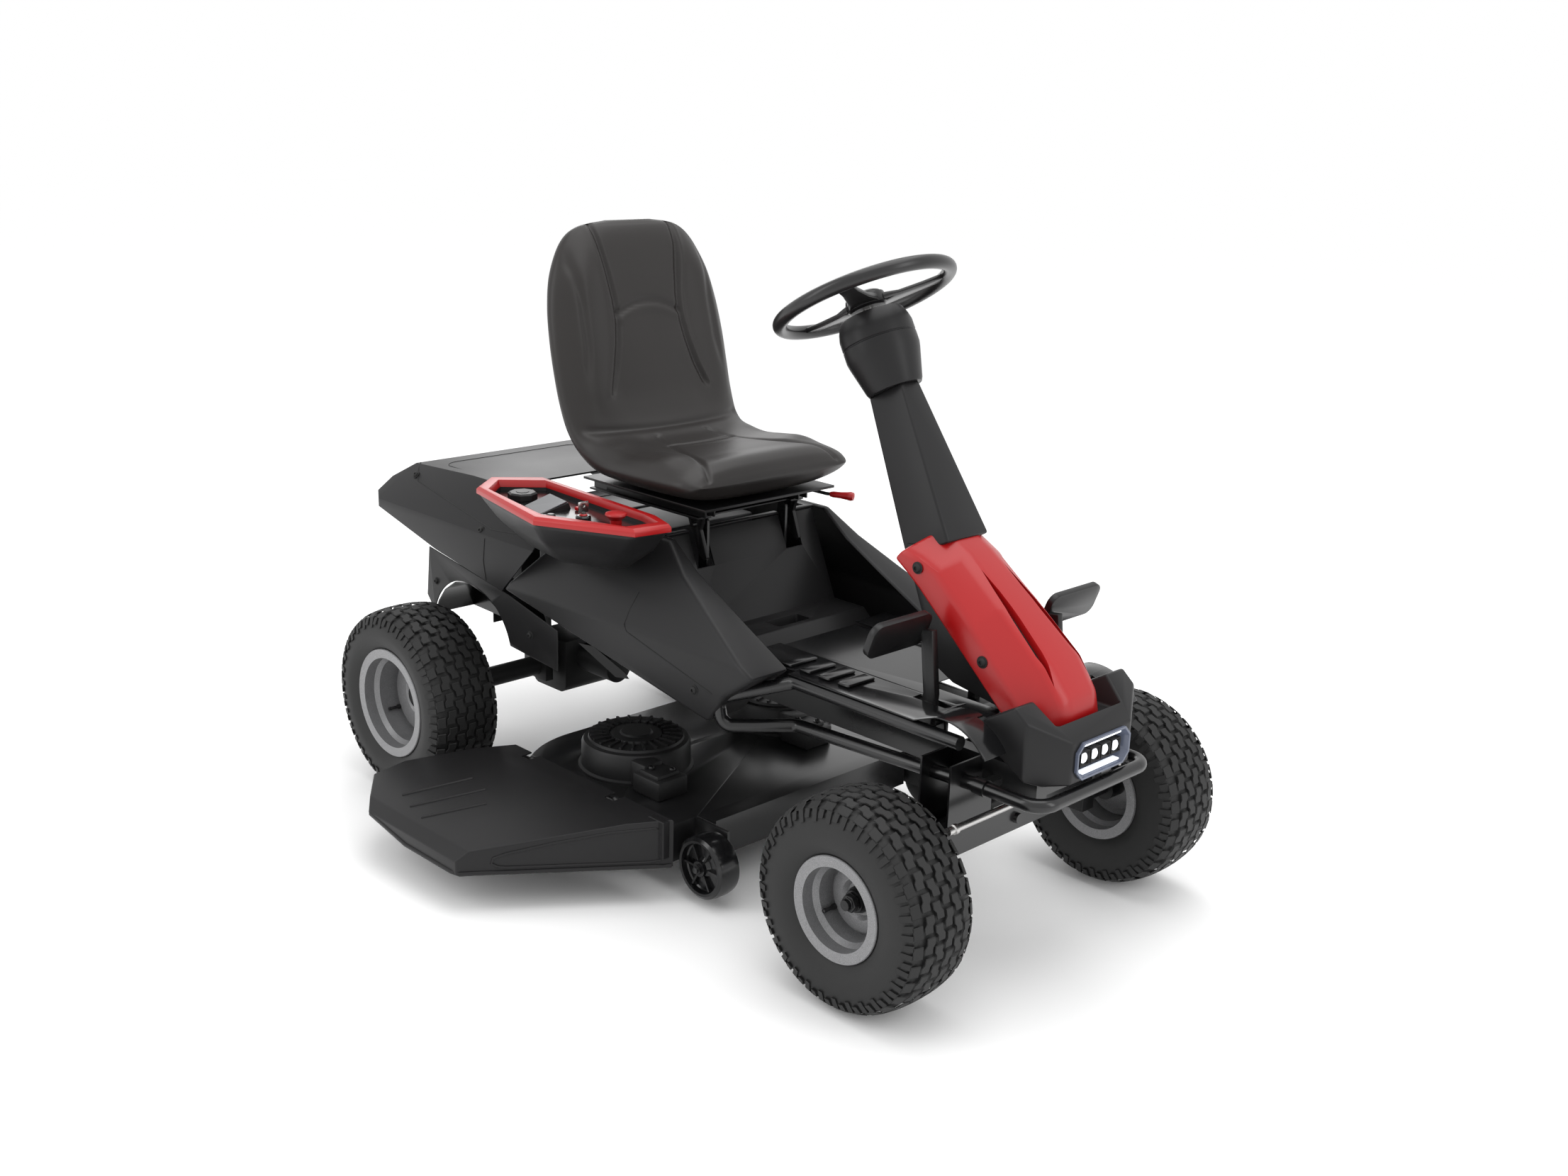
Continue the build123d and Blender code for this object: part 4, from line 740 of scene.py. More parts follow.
def seat_relief(x, z, y, part):
    """How far the cover stands proud of its plain shape: bolsters, channels and creases."""
    wide = abs(y)
    back = ease(800, 880, z)
    proud = back * (15 * ease(0.42, 0.78, part) * (1 - 0.7 * ease(0.80, 1.0, part))
        * (1 - ease(1090, 1185, z)) - 6)
    if z > 850:
        gate = ease(856, 874, z)
        proud -= 7.5 * dent(wide - line_at(LONG_GROOVE, z), 5.5) * gate
        proud += 2.0 * dent(wide - line_at(LONG_GROOVE, z) - 13, 7) * gate
        arch = 1043 - 24 * (wide / 84) ** 2
        if wide < 92:
            proud -= 6.5 * dent(z - arch, 5.0) * ease(92, 82, wide)
            proud += 3.0 * dent(z - arch + 14, 6) * ease(92, 76, wide)
        proud -= 5.0 * dent(wide - line_at(OUTER_CREASE, z), 9) * ease(880, 960, z) * ease(1160, 1110, z)
    else:
        base = ease(345, 400, x)
        side_rise = ease(0.46, 0.80, part) * (1 - 0.6 * ease(0.86, 1.0, part))
        proud += base * (19 * side_rise * ease(620, 520, x) - 8 * ease(640, 560, x))
        proud -= 8 * dent(x - 352 + 0.00025 * wide ** 2, 8) * ease(1.0, 0.86, part)
        proud -= 5.5 * dent(x - 448 + 0.0012 * wide ** 2, 5) * ease(98, 82, wide)
        proud += 2.5 * dent(x - 462 + 0.0012 * wide ** 2, 7) * ease(98, 78, wide)
        spread = line_at([(360, 62), (448, 88), (560, 132), (650, 176)], x)
        proud -= 6.0 * dent(wide - spread, 6) * ease(368, 385, x) * ease(655, 640, x)
    return proud


def make_seat():
    """The moulded seat: one crowned skin over foam, front and rear faces meeting in a round edge."""
    rows, columns = 200, 168
    vertices, faces = [], []
    for row in range(rows + 1):
        front_x, front_z, rear_x, rear_z, half = between(SEAT_ROWS, row * (len(SEAT_ROWS) - 1) / rows)
        middle = Vector(((front_x + rear_x) / 2, 0, (front_z + rear_z) / 2))
        reach = Vector(((front_x - rear_x) / 2, 0, (front_z - rear_z) / 2))
        thick = max(reach.length, 0.01)
        for column in range(2 * columns):
            front_face = column <= columns
            turn_by = math.pi * (column / columns if front_face else (2 * columns - column) / columns)
            part = -math.cos(turn_by)
            side_part = abs(part)
            y = half * part
            edge = max(0.0, 1 - side_part ** 3.6) ** 0.5
            sweep = reach * edge * (1 if front_face else -1)
            point = middle + sweep
            if front_face:
                proud = seat_relief(front_x, front_z, y, side_part) * min(1, thick / 20) * min(1, edge * 2)
                point = point + reach.normalized() * proud
            else:
                point = point - reach * 0.06 * (1 - side_part ** 2)
            vertices.append(at(point.x, y, point.z))
    ring = 2 * columns
    for row in range(rows):
        for column in range(ring):
            after = (column + 1) % ring
            faces.append([row * ring + column, row * ring + after, (row + 1) * ring + after,
                (row + 1) * ring + column])
    for base in (0, rows * ring):
        for column in range(1, columns):
            a, b = base + column, base + column + 1
            c, d = base + ring - column - 1, base + ring - column
            if column == 1:
                faces.append([base, base + 1, base + ring - 1])
            faces.append([a, b, c, d] if b != c else [a, b, d])
    obj = outwards(built("seat_foam", vertices, faces))
    modify(obj, "SMOOTH", factor=0.35, iterations=1)
    for polygon in obj.data.polygons:
        polygon.use_smooth = True
    return obj


seat = finish_piece(make_seat(), "seat", VINYL, ["seat_cushion"])

# ---- hood --------------------------------------------------------------------------
HOOD_TOP = Vector((1066, 0, 690))
SLOPE = Vector((0.7323, 0, -0.6810))
RISE = Vector((0.6810, 0, 0.7323))
HOOD_STATIONS = [(-6, 104, 20, 56, 52), (24, 98, 33, 66, 44), (64, 93, 47, 77, 42), (180, 90, 46, 90, 48),
    (306, 88, 40, 99, 52), (372, 88, 36, 88, 48), (410, 84, 30, 64, 44)]


def on_hood(distance, y, height):
    """A point this far down the hood from its top edge and this high over its base line."""
    point = HOOD_TOP + SLOPE * distance + RISE * height
    return at(point.x, y, point.z)


rings = []
for distance, half, shoulder, crest, crest_half in HOOD_STATIONS:
    rings.append([on_hood(distance, y, h) for y, h in ((-half, -14), (half, -14), (half, shoulder - 12),
        (half - 9, shoulder), (crest_half + 5, crest - 8), (crest_half - 14, crest), (14 - crest_half, crest),
        (-crest_half - 5, crest - 8), (9 - half, shoulder), (-half, shoulder - 12))])
hood = round_edges(lofted("hood_shell", rings), 7, 3, 14)


def leaf(near, far, width):
    """The outline of a long pointed slit down the hood's raised middle."""
    start, stop = Vector(near), Vector(far)
    spots = []
    for part, offset in ((0, 0), (0.2, -0.35), (0.45, -0.5), (0.75, -0.42), (1, 0.1), (0.75, 0.5),
            (0.45, 0.45), (0.2, 0.25)):
        middle = start.lerp(stop, part)
        spots.append((middle.x, middle.y + offset * width))
    return spots


def slit_piece(name, hand, low, high, width):
    """A slit's solid between two heights over the raised middle."""
    rows = []
    for height in (low, high):
        rows.append([on_hood(distance, hand * y, crest_at(distance) + height)
            for distance, y in leaf((98, 32), (344, 48), width)])
    return lofted(name, rows)


def crest_at(distance):
    """The height of the raised middle's edge over the hood's base line."""
    return line_at([(-6, 50), (64, 68), (180, 80), (306, 88), (372, 76), (412, 54)], distance)


hood = cut(hood, slit_piece("slit_cutter_left", 1, -4, 26, 15),
    slit_piece("slit_cutter_right", -1, -4, 26, 15))
finish_piece(smooth(hood, 30), "chassis", RED, ["hood"])
for side_name, hand in (("left", 1), ("right", -1)):
    # a near-black sheet just above each slit's floor: painted shade standing for the dark depth of an open
    # slit
    finish_piece(slit_piece(f"hood_slit_painted_shade_{side_name}", hand, -5, -3.2, 14.4), "chassis", BLACK_PARTS_AND_PAINTED_SHADE)
    for count, (x, half, z) in enumerate(((1103, 98, 676), (1145, 64, 591), (1252, 90, 540))):
        finish_piece(screw(f"hood_screw_{side_name}_{count + 1}", (x, hand * half, z), (0, hand, 0)),
            "chassis", BLACK_PARTS_AND_PAINTED_SHADE)

# ---- nose mask and lamp ------------------------------------------------------------
plan = [(1448, -84), (1448, 84), (1402, 156), (1312, 158), (1312, -158), (1402, -156)]
mask = prism("nose_mask_shell", [at(x, y, 360) for x, y in plan], Vector((0, 0, 0.16)))
profile = side_prism("mask_profile", [(1420, 372), (1452, 372), (1452, 446), (1376, 509), (1312, 470),
    (1308, 440)], (-170, 170))
modify(mask, "BOOLEAN", object=profile, operation="INTERSECT", solver="EXACT")
bpy.data.objects.remove(profile, do_unlink=True)
cut(mask, prism("mask_middle", [at(x, y, z) for x, y, z in ((1300, -112, 530), (1300, -88, 458),
    (1300, 88, 458), (1300, 112, 530))], Vector((0.118, 0, 0))))
round_edges(mask, 5, 3, 20)


LAMP_Z = 412


def octagon(x, half, half_height, corner):
    """The lamp's outline at this x: a rectangle with its corners cut."""
    return [at(x, y, LAMP_Z + z) for y, z in ((-half, corner - half_height), (corner - half, -half_height),
        (half - corner, -half_height), (half, corner - half_height), (half, half_height - corner),
        (half - corner, half_height), (corner - half, half_height), (-half, half_height - corner))]


cut(mask, lofted("lamp_recess", [octagon(1418, 70, 27, 14), octagon(1462, 79, 36, 17)]))
finish_piece(smooth(mask, 30), "chassis", CHARCOAL, ["nose_mask"])
# the reflector, finished with a painted glow of lamp light
reflector = lofted("lamp_reflector", [octagon(1420, 70, 27, 14), octagon(1451, 76.5, 33.5, 16.5),
    octagon(1454, 76.5, 33.5, 16.5), octagon(1454, 73, 30, 15), octagon(1451, 72, 29, 15),
    octagon(1424, 62, 20, 12)])
finish_piece(smooth(reflector), "chassis", REFLECTOR_PAINTED_GLOW, ["headlight"])
for count in range(4):
    mid_y = (count - 1.5) * 30
    cell = lofted(f"lamp_cell_{count + 1}", [[at(x, mid_y + dy * s, LAMP_Z + dz * s)
        for dy, dz in ((-1, -1), (1, -1), (1, 1), (-1, 1))]
        for x, s in ((1430, 13), (1447, 13), (1447, 11.4), (1443, 10))])
    finish_piece(cell, "chassis", BLACK_PARTS_AND_PAINTED_SHADE)
    chip = turned(f"lamp_chip_{count + 1}", [(0.2, 0), (9.5, 0), (9.5, 1), (7, 3), (0.2, 3.6)],
        (1443.2, mid_y, LAMP_Z), (1, 0, 0), 16)
    finish_piece(smooth(chip), "chassis", LED)
for name, z in (("upper", 437), ("lower", 387)):
    strip = slab(f"lamp_strip_{name}", (1436, 1450), (-54, 54), (z - 2, z + 2))
    finish_piece(round_edges(strip, 2, 2), "chassis", LED)

# ---- column, collar and wheel ------------------------------------------------------
STEERING_MIDDLE = (861, 0, 1112)
RAKE = math.radians(29)
COLUMN_UP = Vector((-math.sin(RAKE), 0, math.cos(RAKE)))
ACROSS = Vector((math.cos(RAKE), 0, math.sin(RAKE)))
RING_RADIUS, RING_THICKNESS = 162, 13


def on_column(rise, along, y):
    """A point this far up the steering axis from the wheel's middle, and this far forward across it."""
    point = Vector(STEERING_MIDDLE) + COLUMN_UP * rise + ACROSS * along
    return at(point.x, y, point.z)


column = lofted("column_shell", [[on_column(rise, a * depth, b * half)
    for a, b, half in ((0.5, -1, front), (0.5, 1, front), (-0.5, 1, rear), (-0.5, -1, rear))]
    for rise, front, rear, depth in ((-174, 24, 34, 76), (-438, 53, 60, 98), (-474, 57, 63, 101))])
finish_piece(smooth(round_edges(column, 5, 3, 20)), "chassis", CHARCOAL, ["steering_column"])
collar = turned("collar_shell", [(11, -34), (57, -34), (60, -37), (66, -52), (69, -64), (69, -82),
    (67.4, -83.5), (67.4, -85), (69, -86.5), (69, -106), (67, -116), (53, -170), (50, -176), (11, -176)],
    STEERING_MIDDLE, COLUMN_UP, 56)
finish_piece(smooth(collar, 28), "chassis", CHARCOAL, ["column_collar"])
ring_profile = [(RING_RADIUS + RING_THICKNESS * math.cos(a * math.pi / 9),
    RING_THICKNESS * math.sin(a * math.pi / 9)) for a in range(18)]
ring = turned("wheel_ring", ring_profile, STEERING_MIDDLE, COLUMN_UP, 96)
hub = turned("wheel_hub", [(0.3, -22), (33, -22), (37, -18), (38, -4), (36, 2), (33, 2.5), (32, 1), (31, 1),
    (30, 6), (24, 9), (0.3, 10)], STEERING_MIDDLE, COLUMN_UP, 48)
spokes = []
for count, angle in enumerate((180, 60, 300)):
    turn_by = math.radians(angle)
    out = Vector((math.cos(turn_by), math.sin(turn_by)))
    aside = Vector((-out.y, out.x))
    rows = []
    for rise_low, rise_high, reach, half in ((-18, -4, 24, 30), (-15, -5, 60, 21), (-10, 0, 110, 15),
            (-5, 5, 158, 15)):
        rows.append([on_column(rise, (out * reach + aside * sideways).x, (out * reach + aside * sideways).y)
            for sideways, rise in ((-half, rise_low), (half, rise_low), (half, rise_high),
            (-half, rise_high))])
    spokes.append(round_edges(lofted(f"wheel_spoke_{count}", rows), 3, 2, 20))
steering = joined("steering_wheel_grip", ring, hub, *spokes)
finish_piece(smooth(steering, 35), "steering", GRIP, ["steering_wheel"])

# ---- rear cover and side panels ----------------------------------------------------
BODY_HALF = 300  # half the width of the body panels
PANEL_INNER = 204  # how far in the side panels reach
cover = side_prism("rear_cover_shell", [(-351, 546), (-322, 602), (-272, 637), (-60, 645), (258, 645),
    (258, 556), (150, 448), (-94, 486)], (-BODY_HALF, BODY_HALF))
for hand in (-1, 1):
    sliced(cover, (0, hand * (BODY_HALF + 1), 556), (0, hand * 0.738, 0.675))
    sliced(cover, (-351, hand * 280, 546), (-0.514, hand * 0.857, 0))
round_edges(cover, 9, 3, 12)
walled(cover, 4, lambda centre, normal: normal.z < -0.35 or (normal.x > 0.95 and centre.x > at(250, 0, 0).x))
well = slab("well_cutter", (58, 300), (-186, 186), (600, 700))
cut(cover, round_edges(well, 34, 5, 40))
finish_piece(smooth(cover, 30), "chassis", CHARCOAL, ["rear_cover"])


SEAM_RADIUS = 1.1


def seam(name, points, closed=False):
    """A dark gap line let half into the surface."""
    finish_piece(smooth(tube(name, points, SEAM_RADIUS, 8, closed), 60), "chassis", BLACK_PARTS_AND_PAINTED_SHADE)


def rounded_loop(low, high, corner, steps):
    """A rounded rectangle's (x, y) points between two corners."""
    points = []
    for mid_x, mid_y, start in ((high[0] - corner, high[1] - corner, 0),
            (low[0] + corner, high[1] - corner, 90), (low[0] + corner, low[1] + corner, 180),
            (high[0] - corner, low[1] + corner, 270)):
        for step in range(steps + 1):
            a = math.radians(start + 90 * step / steps)
            points.append((mid_x + corner * math.cos(a), mid_y + corner * math.sin(a)))
    return points


outline = rounded_loop((-222, -196), (258, 196), 46, 6)
seam("cover_panel_line", [(x, y, 645.1 if x > -60 else 645 - (-60 - x) * 0.0377) for x, y in outline],
    closed=True)
for side_name, hand in (("left", 1), ("right", -1)):
    seam(f"cover_side_seam_{side_name}", sided(hand, (-262, 222, 639.2), (-250, 236, 627), (-226, 254, 607.4),
        (-60, 272, 587.9), (104, 289.5, 568.6)))
    seam(f"panel_seam_{side_name}", sided(hand, (258, 273, 587), (180, 284, 574.8), (104, 289.5, 568.6),
        (92, 300.2, 548), (86, 300.2, 500), (94, 300.2, 458)))
    for name, where, outward in (("tail", (-244, hand * 246, 616.8), (-0.1, hand * 0.72, 0.68)),
            ("side", (72, hand * 294, 562), (0, hand * 0.95, 0.3)),
            ("top", (-300, hand * 20, 618), (-0.55, 0, 0.83))):
        finish_piece(screw(f"cover_screw_{name}_{side_name}", where, outward, 6.5), "chassis", BLACK_PARTS_AND_PAINTED_SHADE)
    arch = [(168, 330), (150, 372), (120, 402), (72, 424), (20, 434), (-34, 424), (-74, 398), (-100, 366),
        (-112, 336)]
    arch_skin = side_prism(f"wheel_arch_{side_name}", arch, (-291, -190) if hand < 0 else (190, 291))
    outer, under = at(0, hand * 291, 0).y, at(0, 0, 337).z
    walled(arch_skin, 2.5, lambda centre, normal: abs(centre.y - outer) < 0.002 or centre.z < under)
    finish_piece(smooth(arch_skin, 40), "chassis", GLOSS_BLACK)
    for count, (x, z) in enumerate(((-101, 411), (239, 372))):
        finish_piece(screw(f"guard_screw_{side_name}_{count + 1}", (x, hand * 293, z), (0, hand, 0), 6.5),
            "chassis", BLACK_PARTS_AND_PAINTED_SHADE)
    # the side panel: outer skin, slanted top, rounded edges, then its slot, facets and seam
    panel = side_prism(f"side_panel_{side_name}_shell",
        [(262, 560), (154, 452), (786, 344), (826, 398), (905, 458), (745, 540), (655, 588), (588, 639),
        (262, 639)], (-BODY_HALF, -PANEL_INNER) if hand < 0 else (PANEL_INNER, BODY_HALF))
    sliced(panel, (0, hand * (BODY_HALF + 1), 470), (0, hand * 0.903, 0.429))
    round_edges(panel, 8, 3, 12)
    inner = at(0, hand * PANEL_INNER, 0).y
    walled(panel, 4, lambda centre, normal: abs(centre.y - inner) < 0.002)
    facet = prism("facet_cutter", [at(x, hand * 303, z)
        for x, z in ((279, 420), (435, 428), (640, 372), (520, 352))], Vector((0, -hand * 0.0055, 0)))
    slot = prism("slot_cutter", [at(x, hand * 303, z)
        for x, z in ((405, 398), (452, 403), (548, 374), (560, 366), (522, 360))],
        Vector((0, -hand * 0.014, 0)))
    cut(panel, facet, slot)
    finish_piece(smooth(panel, 30), "chassis", CHARCOAL, ["side_panels"] if hand < 0 else [])
    # a near-black sheet inside the slot: painted shade standing for the slot's dark depth
    slot_shade_sheet = prism(f"panel_slot_painted_shade_{side_name}",
        [at(x, hand * 296.6, z) for x, z in ((404, 399), (453, 404), (549, 375), (561, 366), (521, 359))],
        Vector((0, hand * 0.001, 0)))
    finish_piece(slot_shade_sheet, "chassis", BLACK_PARTS_AND_PAINTED_SHADE)
    seam(f"panel_front_seam_{side_name}", sided(hand, (556, 270, 536), (548, 285, 503), (547, 299, 474),
        (556, 300.1, 462), (690, 300.1, 430), (800, 300.1, 404)))
    finish_piece(screw(f"panel_screw_{side_name}", (752, hand * 300, 398), (0, hand, 0), 8), "chassis", BLACK_PARTS_AND_PAINTED_SHADE)

# ---- console -----------------------------------------------------------------------
CONSOLE_TOP = [(128, -309), (182, -380), (455, -443), (640, -351), (652, -273), (588, -250), (191, -225)]
CONSOLE_FLOOR = [(262, -292), (300, -330), (420, -352), (524, -310), (530, -268), (494, -256), (290, -246)]


def inset_ring(points, amount, z):
    """The outline drawn in towards its middle by about this many millimetres."""
    mid_x = sum(x for x, _ in points) / len(points)
    mid_y = sum(y for _, y in points) / len(points)
    ring_points = []
    for x, y in points:
        reach = math.hypot(x - mid_x, y - mid_y)
        scale = max(0.1, (reach - amount) / reach)
        ring_points.append(at(mid_x + (x - mid_x) * scale, mid_y + (y - mid_y) * scale, z))
    return ring_points


middle_ring = [at((a[0] * 0.62 + b[0] * 0.38), (a[1] * 0.62 + b[1] * 0.38), 628)
    for a, b in zip(CONSOLE_TOP, CONSOLE_FLOOR)]
tub = lofted("console_tub_shell", [inset_ring(CONSOLE_FLOOR, 4, 577), middle_ring,
    inset_ring(CONSOLE_TOP, 1, 676)])
round_edges(tub, 12, 4, 10)
cut(tub, lofted("tub_cutter", [inset_ring(CONSOLE_TOP, 40, 660), inset_ring(CONSOLE_TOP, 34, 690)]))
finish_piece(smooth(tub, 30), "chassis", CHARCOAL, ["console_tub"])
bezel = lofted("console_bezel_ring", [inset_ring(CONSOLE_TOP, 0, 675), inset_ring(CONSOLE_TOP, 0, 684),
    inset_ring(CONSOLE_TOP, 7, 690), inset_ring(CONSOLE_TOP, 24, 689)])
cut(bezel, lofted("bezel_cutter", [inset_ring(CONSOLE_TOP, 40, 670), inset_ring(CONSOLE_TOP, 26, 700)]))
round_edges(bezel, 1.5, 2, 30)
finish_piece(smooth(bezel, 30), "chassis", RED, ["console_bezel"])
panel_plate = lofted("console_panel_plate", [inset_ring(CONSOLE_TOP, 37, 664),
    inset_ring(CONSOLE_TOP, 37, 668)])
finish_piece(round_edges(panel_plate, 1, 1), "chassis", GLOSS_BLACK, ["console_panel"])
screen = prism("console_display", [at(x, y, z) for x, y, z in ((300, -350, 668), (372, -366, 668),
    (372, -300, 684), (300, -286, 684))], Vector((0, 0.003, -0.008)))
finish_piece(round_edges(screen, 1, 1), "chassis", SCREEN)
stand = lofted("display_stand", [[at(296, -352, 667), at(376, -370, 667), at(376, -292, 667),
    at(296, -278, 667)], [at(302, -345, 669), at(370, -360, 669), at(374, -297, 681), at(298, -283, 681)]])
finish_piece(round_edges(stand, 1.5, 2), "chassis", CHARCOAL)
for name, x, y, radius in (("lamp_left", 400, -360, 9), ("lamp_right", 590, -300, 11),
        ("dial", 420, -392, 12)):
    button = turned(f"console_{name}", [(0.3, 667), (radius, 667), (radius, 671), (radius - 2, 673),
        (radius - 4, 673.5), (0.3, 673.5)], (x, y, 0), (0, 0, 1), 24)
    finish_piece(smooth(button), "chassis", GLOSS_BLACK)
KEY_AT = (452, -322, 0)
key_base = turned("key_base", [(6, 667), (15, 667), (15, 672), (12, 675), (6, 675)], KEY_AT, (0, 0, 1), 28)
finish_piece(smooth(key_base), "chassis", GLOSS_BLACK)
key_grip = turned("key_collar", [(5.2, 668), (8, 668), (8, 676), (5.2, 678)], KEY_AT, (0, 0, 1), 24)
finish_piece(smooth(key_grip), "key", RED)
key = joined("key_blade", turned("key_barrel", [(0.3, 660), (5, 660), (5, 680), (0.3, 680)], KEY_AT,
    (0, 0, 1), 20), round_edges(slab("key_bow", (450.6, 453.4), (-334, -310), (680, 702)), 1, 2))
cut(key, turned("key_hole", [(0.2, 440), (3.5, 440), (3.5, 464), (0.2, 464)], (0, -322, 694), (1, 0, 0), 16))
finish_piece(smooth(key), "key", STEEL, ["ignition_key"])
knob = turned("knob_mushroom", [(0.3, 642), (6, 642), (6, 670), (11, 672), (11, 684), (14, 687), (18, 690),
    (21, 694), (20, 697), (14, 699), (0.3, 700)], (545, -318, 0), (0, 0, 1), 36)
finish_piece(smooth(knob, 40), "knob", RED, ["blade_knob"])
cap = turned("charge_cap_moulding", [(0.3, 668.8), (30, 668.8), (30, 680), (26, 683), (14, 683), (13, 684),
    (0.3, 684)], (252, -318, 0), (0, 0, 1), 8)
finish_piece(round_edges(cap, 1.2, 2), "cap", CHARCOAL, ["charge_cap"])
worn("speed_switch_rocker", "speed_switch", "switch", RED, 1.5, 2)

# ---- cutting deck, chute and rollers -----------------------------------------------
worn("deck_pressing", "deck_shell", "deck", DECK_BLACK, 1.2, 2)
motor_profile = [(0.3, 138), (118, 138), (118, 143), (112, 146), (111, 190), (107, 197), (98, 199), (96, 204),
    (70, 205), (68, 201), (54, 201), (52, 206), (34, 207), (30, 210), (0.3, 210)]
MOTOR_X, MOTOR_Y = 475, 205
motor_pieces = []
for hand in (-1, 1):
    motor_pieces.append(turned(f"motor_can_{hand}", motor_profile, (MOTOR_X, hand * MOTOR_Y, 0), (0, 0, 1),
        72))
    for rib in range(24):
        a = 2 * math.pi * rib / 24
        out, aside = Vector((math.cos(a), math.sin(a))), Vector((-math.sin(a), math.cos(a)))
        rows = []
        for z in (203, 208.5):
            rows.append([at(MOTOR_X + (out * r + aside * w).x, hand * MOTOR_Y + (out * r + aside * w).y, z)
                for r, w in ((56, -1.6), (94, -2.4), (94, 2.4), (56, 1.6))])
        motor_pieces.append(lofted(f"motor_rib_{hand}_{rib}", rows))
    box = slab(f"motor_box_{hand}", (577, 657), (hand * MOTOR_Y - 96, hand * MOTOR_Y - 20), (138, 178))
    step_box = slab(f"motor_box_step_{hand}", (588, 644), (hand * MOTOR_Y - 88, hand * MOTOR_Y - 30),
        (170, 186))
    lug = slab(f"motor_box_lug_{hand}", (556, 600), (hand * MOTOR_Y - 84, hand * MOTOR_Y - 36), (140, 194))
    motor_pieces += [round_edges(box, 5, 2), round_edges(step_box, 4, 2), round_edges(lug, 5, 2)]
motors = joined("deck_motor_covers", *motor_pieces)
finish_piece(smooth(motors, 30), "deck", CAST, ["deck_motors"])
for hand, side_name in ((-1, "right"), (1, "left")):
    for count, (x, y) in enumerate(((604, -70), (636, -44), (366, 30))):
        finish_piece(screw(f"deck_screw_{side_name}_{count + 1}",
            (x, hand * MOTOR_Y + y, 186.5 if count < 2 else 138.5), (0, 0, 1), 6), "deck", MECHANISM)

chute = prism("discharge_chute_shell", [at(x, y, 76)
    for x, y in ((790, -376), (572, -676), (556, -700), (262, -700), (166, -628), (174, -560), (300, -376))],
    Vector((0, 0, 0.1)))
CHUTE_TOP = [(-364, 172), (-448, 166), (-680, 122), (-700, 104), (-711, 70)]
for (y_a, z_a), (y_b, z_b) in zip(CHUTE_TOP, CHUTE_TOP[1:]):
    run = Vector((0, y_b - y_a, z_b - z_a)).normalized()
    normal = Vector((0, run.z, -run.y))
    sliced(chute, (0, y_a, z_a), normal if normal.z > 0 else -normal)
sliced(chute, (390, 0, 76), (-0.177, 0, -0.984))
round_edges(chute, 9, 4, 14)
inner = at(0, -376, 0).y
walled(chute, 2.6, lambda centre, normal: normal.z < -0.5 or centre.y > inner - 0.003)
cut(chute, slab("hinge_gap_a", (355, 381), (-405, -360), (140, 175)),
    slab("hinge_gap_b", (619, 646), (-405, -360), (140, 175)))
finish_piece(smooth(chute, 30), "chute", CHARCOAL, ["discharge_chute"])


def chute_top(y):
    """The height of the chute's top at this y."""
    return line_at(CHUTE_TOP, y)


def on_chute_front(part, z):
    """A point on the chute's front face, from its hinge end to its outer corner."""
    return (788 - 214 * part, -378 - 296 * part, z)


lip = tube("chute_lip", [(786, -380, 79), (574, -672, 79), (560, -694, 79), (540, -699, 79), (390, -699, 79),
    (268, -698, 100), (178, -630, 116)], 4.5, 12)
finish_piece(smooth(lip, 60), "chute", CHARCOAL)
panel_loop = []
for part, z in ((0.06, 92), (0.06, 150), (0.09, 156), (0.32, 150), (0.60, 134), (0.84, 116), (0.90, 108),
        (0.91, 98), (0.88, 91), (0.84, 89), (0.12, 88)):
    panel_loop.append(on_chute_front(part, z))
finish_piece(smooth(tube("chute_front_bead", panel_loop, 2.6, 12, True), 60), "chute", CHARCOAL)
for count, (x_a, y_a, x_b, y_b) in enumerate(((288, -640, 352, -520), (338, -655, 410, -530),
        (392, -665, 455, -560))):
    ridge_piece = tube(f"chute_ridge_{count + 1}",
        [(x_a + (x_b - x_a) * t / 6, y_a + (y_b - y_a) * t / 6, chute_top(y_a + (y_b - y_a) * t / 6) - 0.8)
        for t in range(7)], 3.4, 12)
    finish_piece(smooth(ridge_piece, 60), "chute", CHARCOAL)
strap = slab("chute_strap", (742, 786), (-401, -385), (96, 171))
finish_piece(round_edges(strap, 2, 2), "chute", CHARCOAL)
# near-black slabs on the strap: painted shade standing for its two holes
for count, z in enumerate((112, 134)):
    finish_piece(round_edges(slab(f"strap_hole_painted_shade_{count + 1}", (752, 760), (-403, -400.5), (z, z + 8)), 0.6, 1),
        "chute", BLACK_PARTS_AND_PAINTED_SHADE)
HINGE_Y, HINGE_Z = -384, 158
for lug_x in (361, 625):
    rod = joined(f"chute_hinge_{lug_x}", turned(f"hinge_rod_{lug_x}",
        [(0.3, -30), (4, -30), (4, 44), (0.3, 44)], (lug_x, HINGE_Y, HINGE_Z), (1, 0, 0), 16),
        turned(f"hinge_nut_{lug_x}", [(0.3, 40), (8, 40), (8, 47), (0.3, 47)], (lug_x, HINGE_Y, HINGE_Z),
        (1, 0, 0), 6))
    finish_piece(smooth(rod), "deck", STEEL)

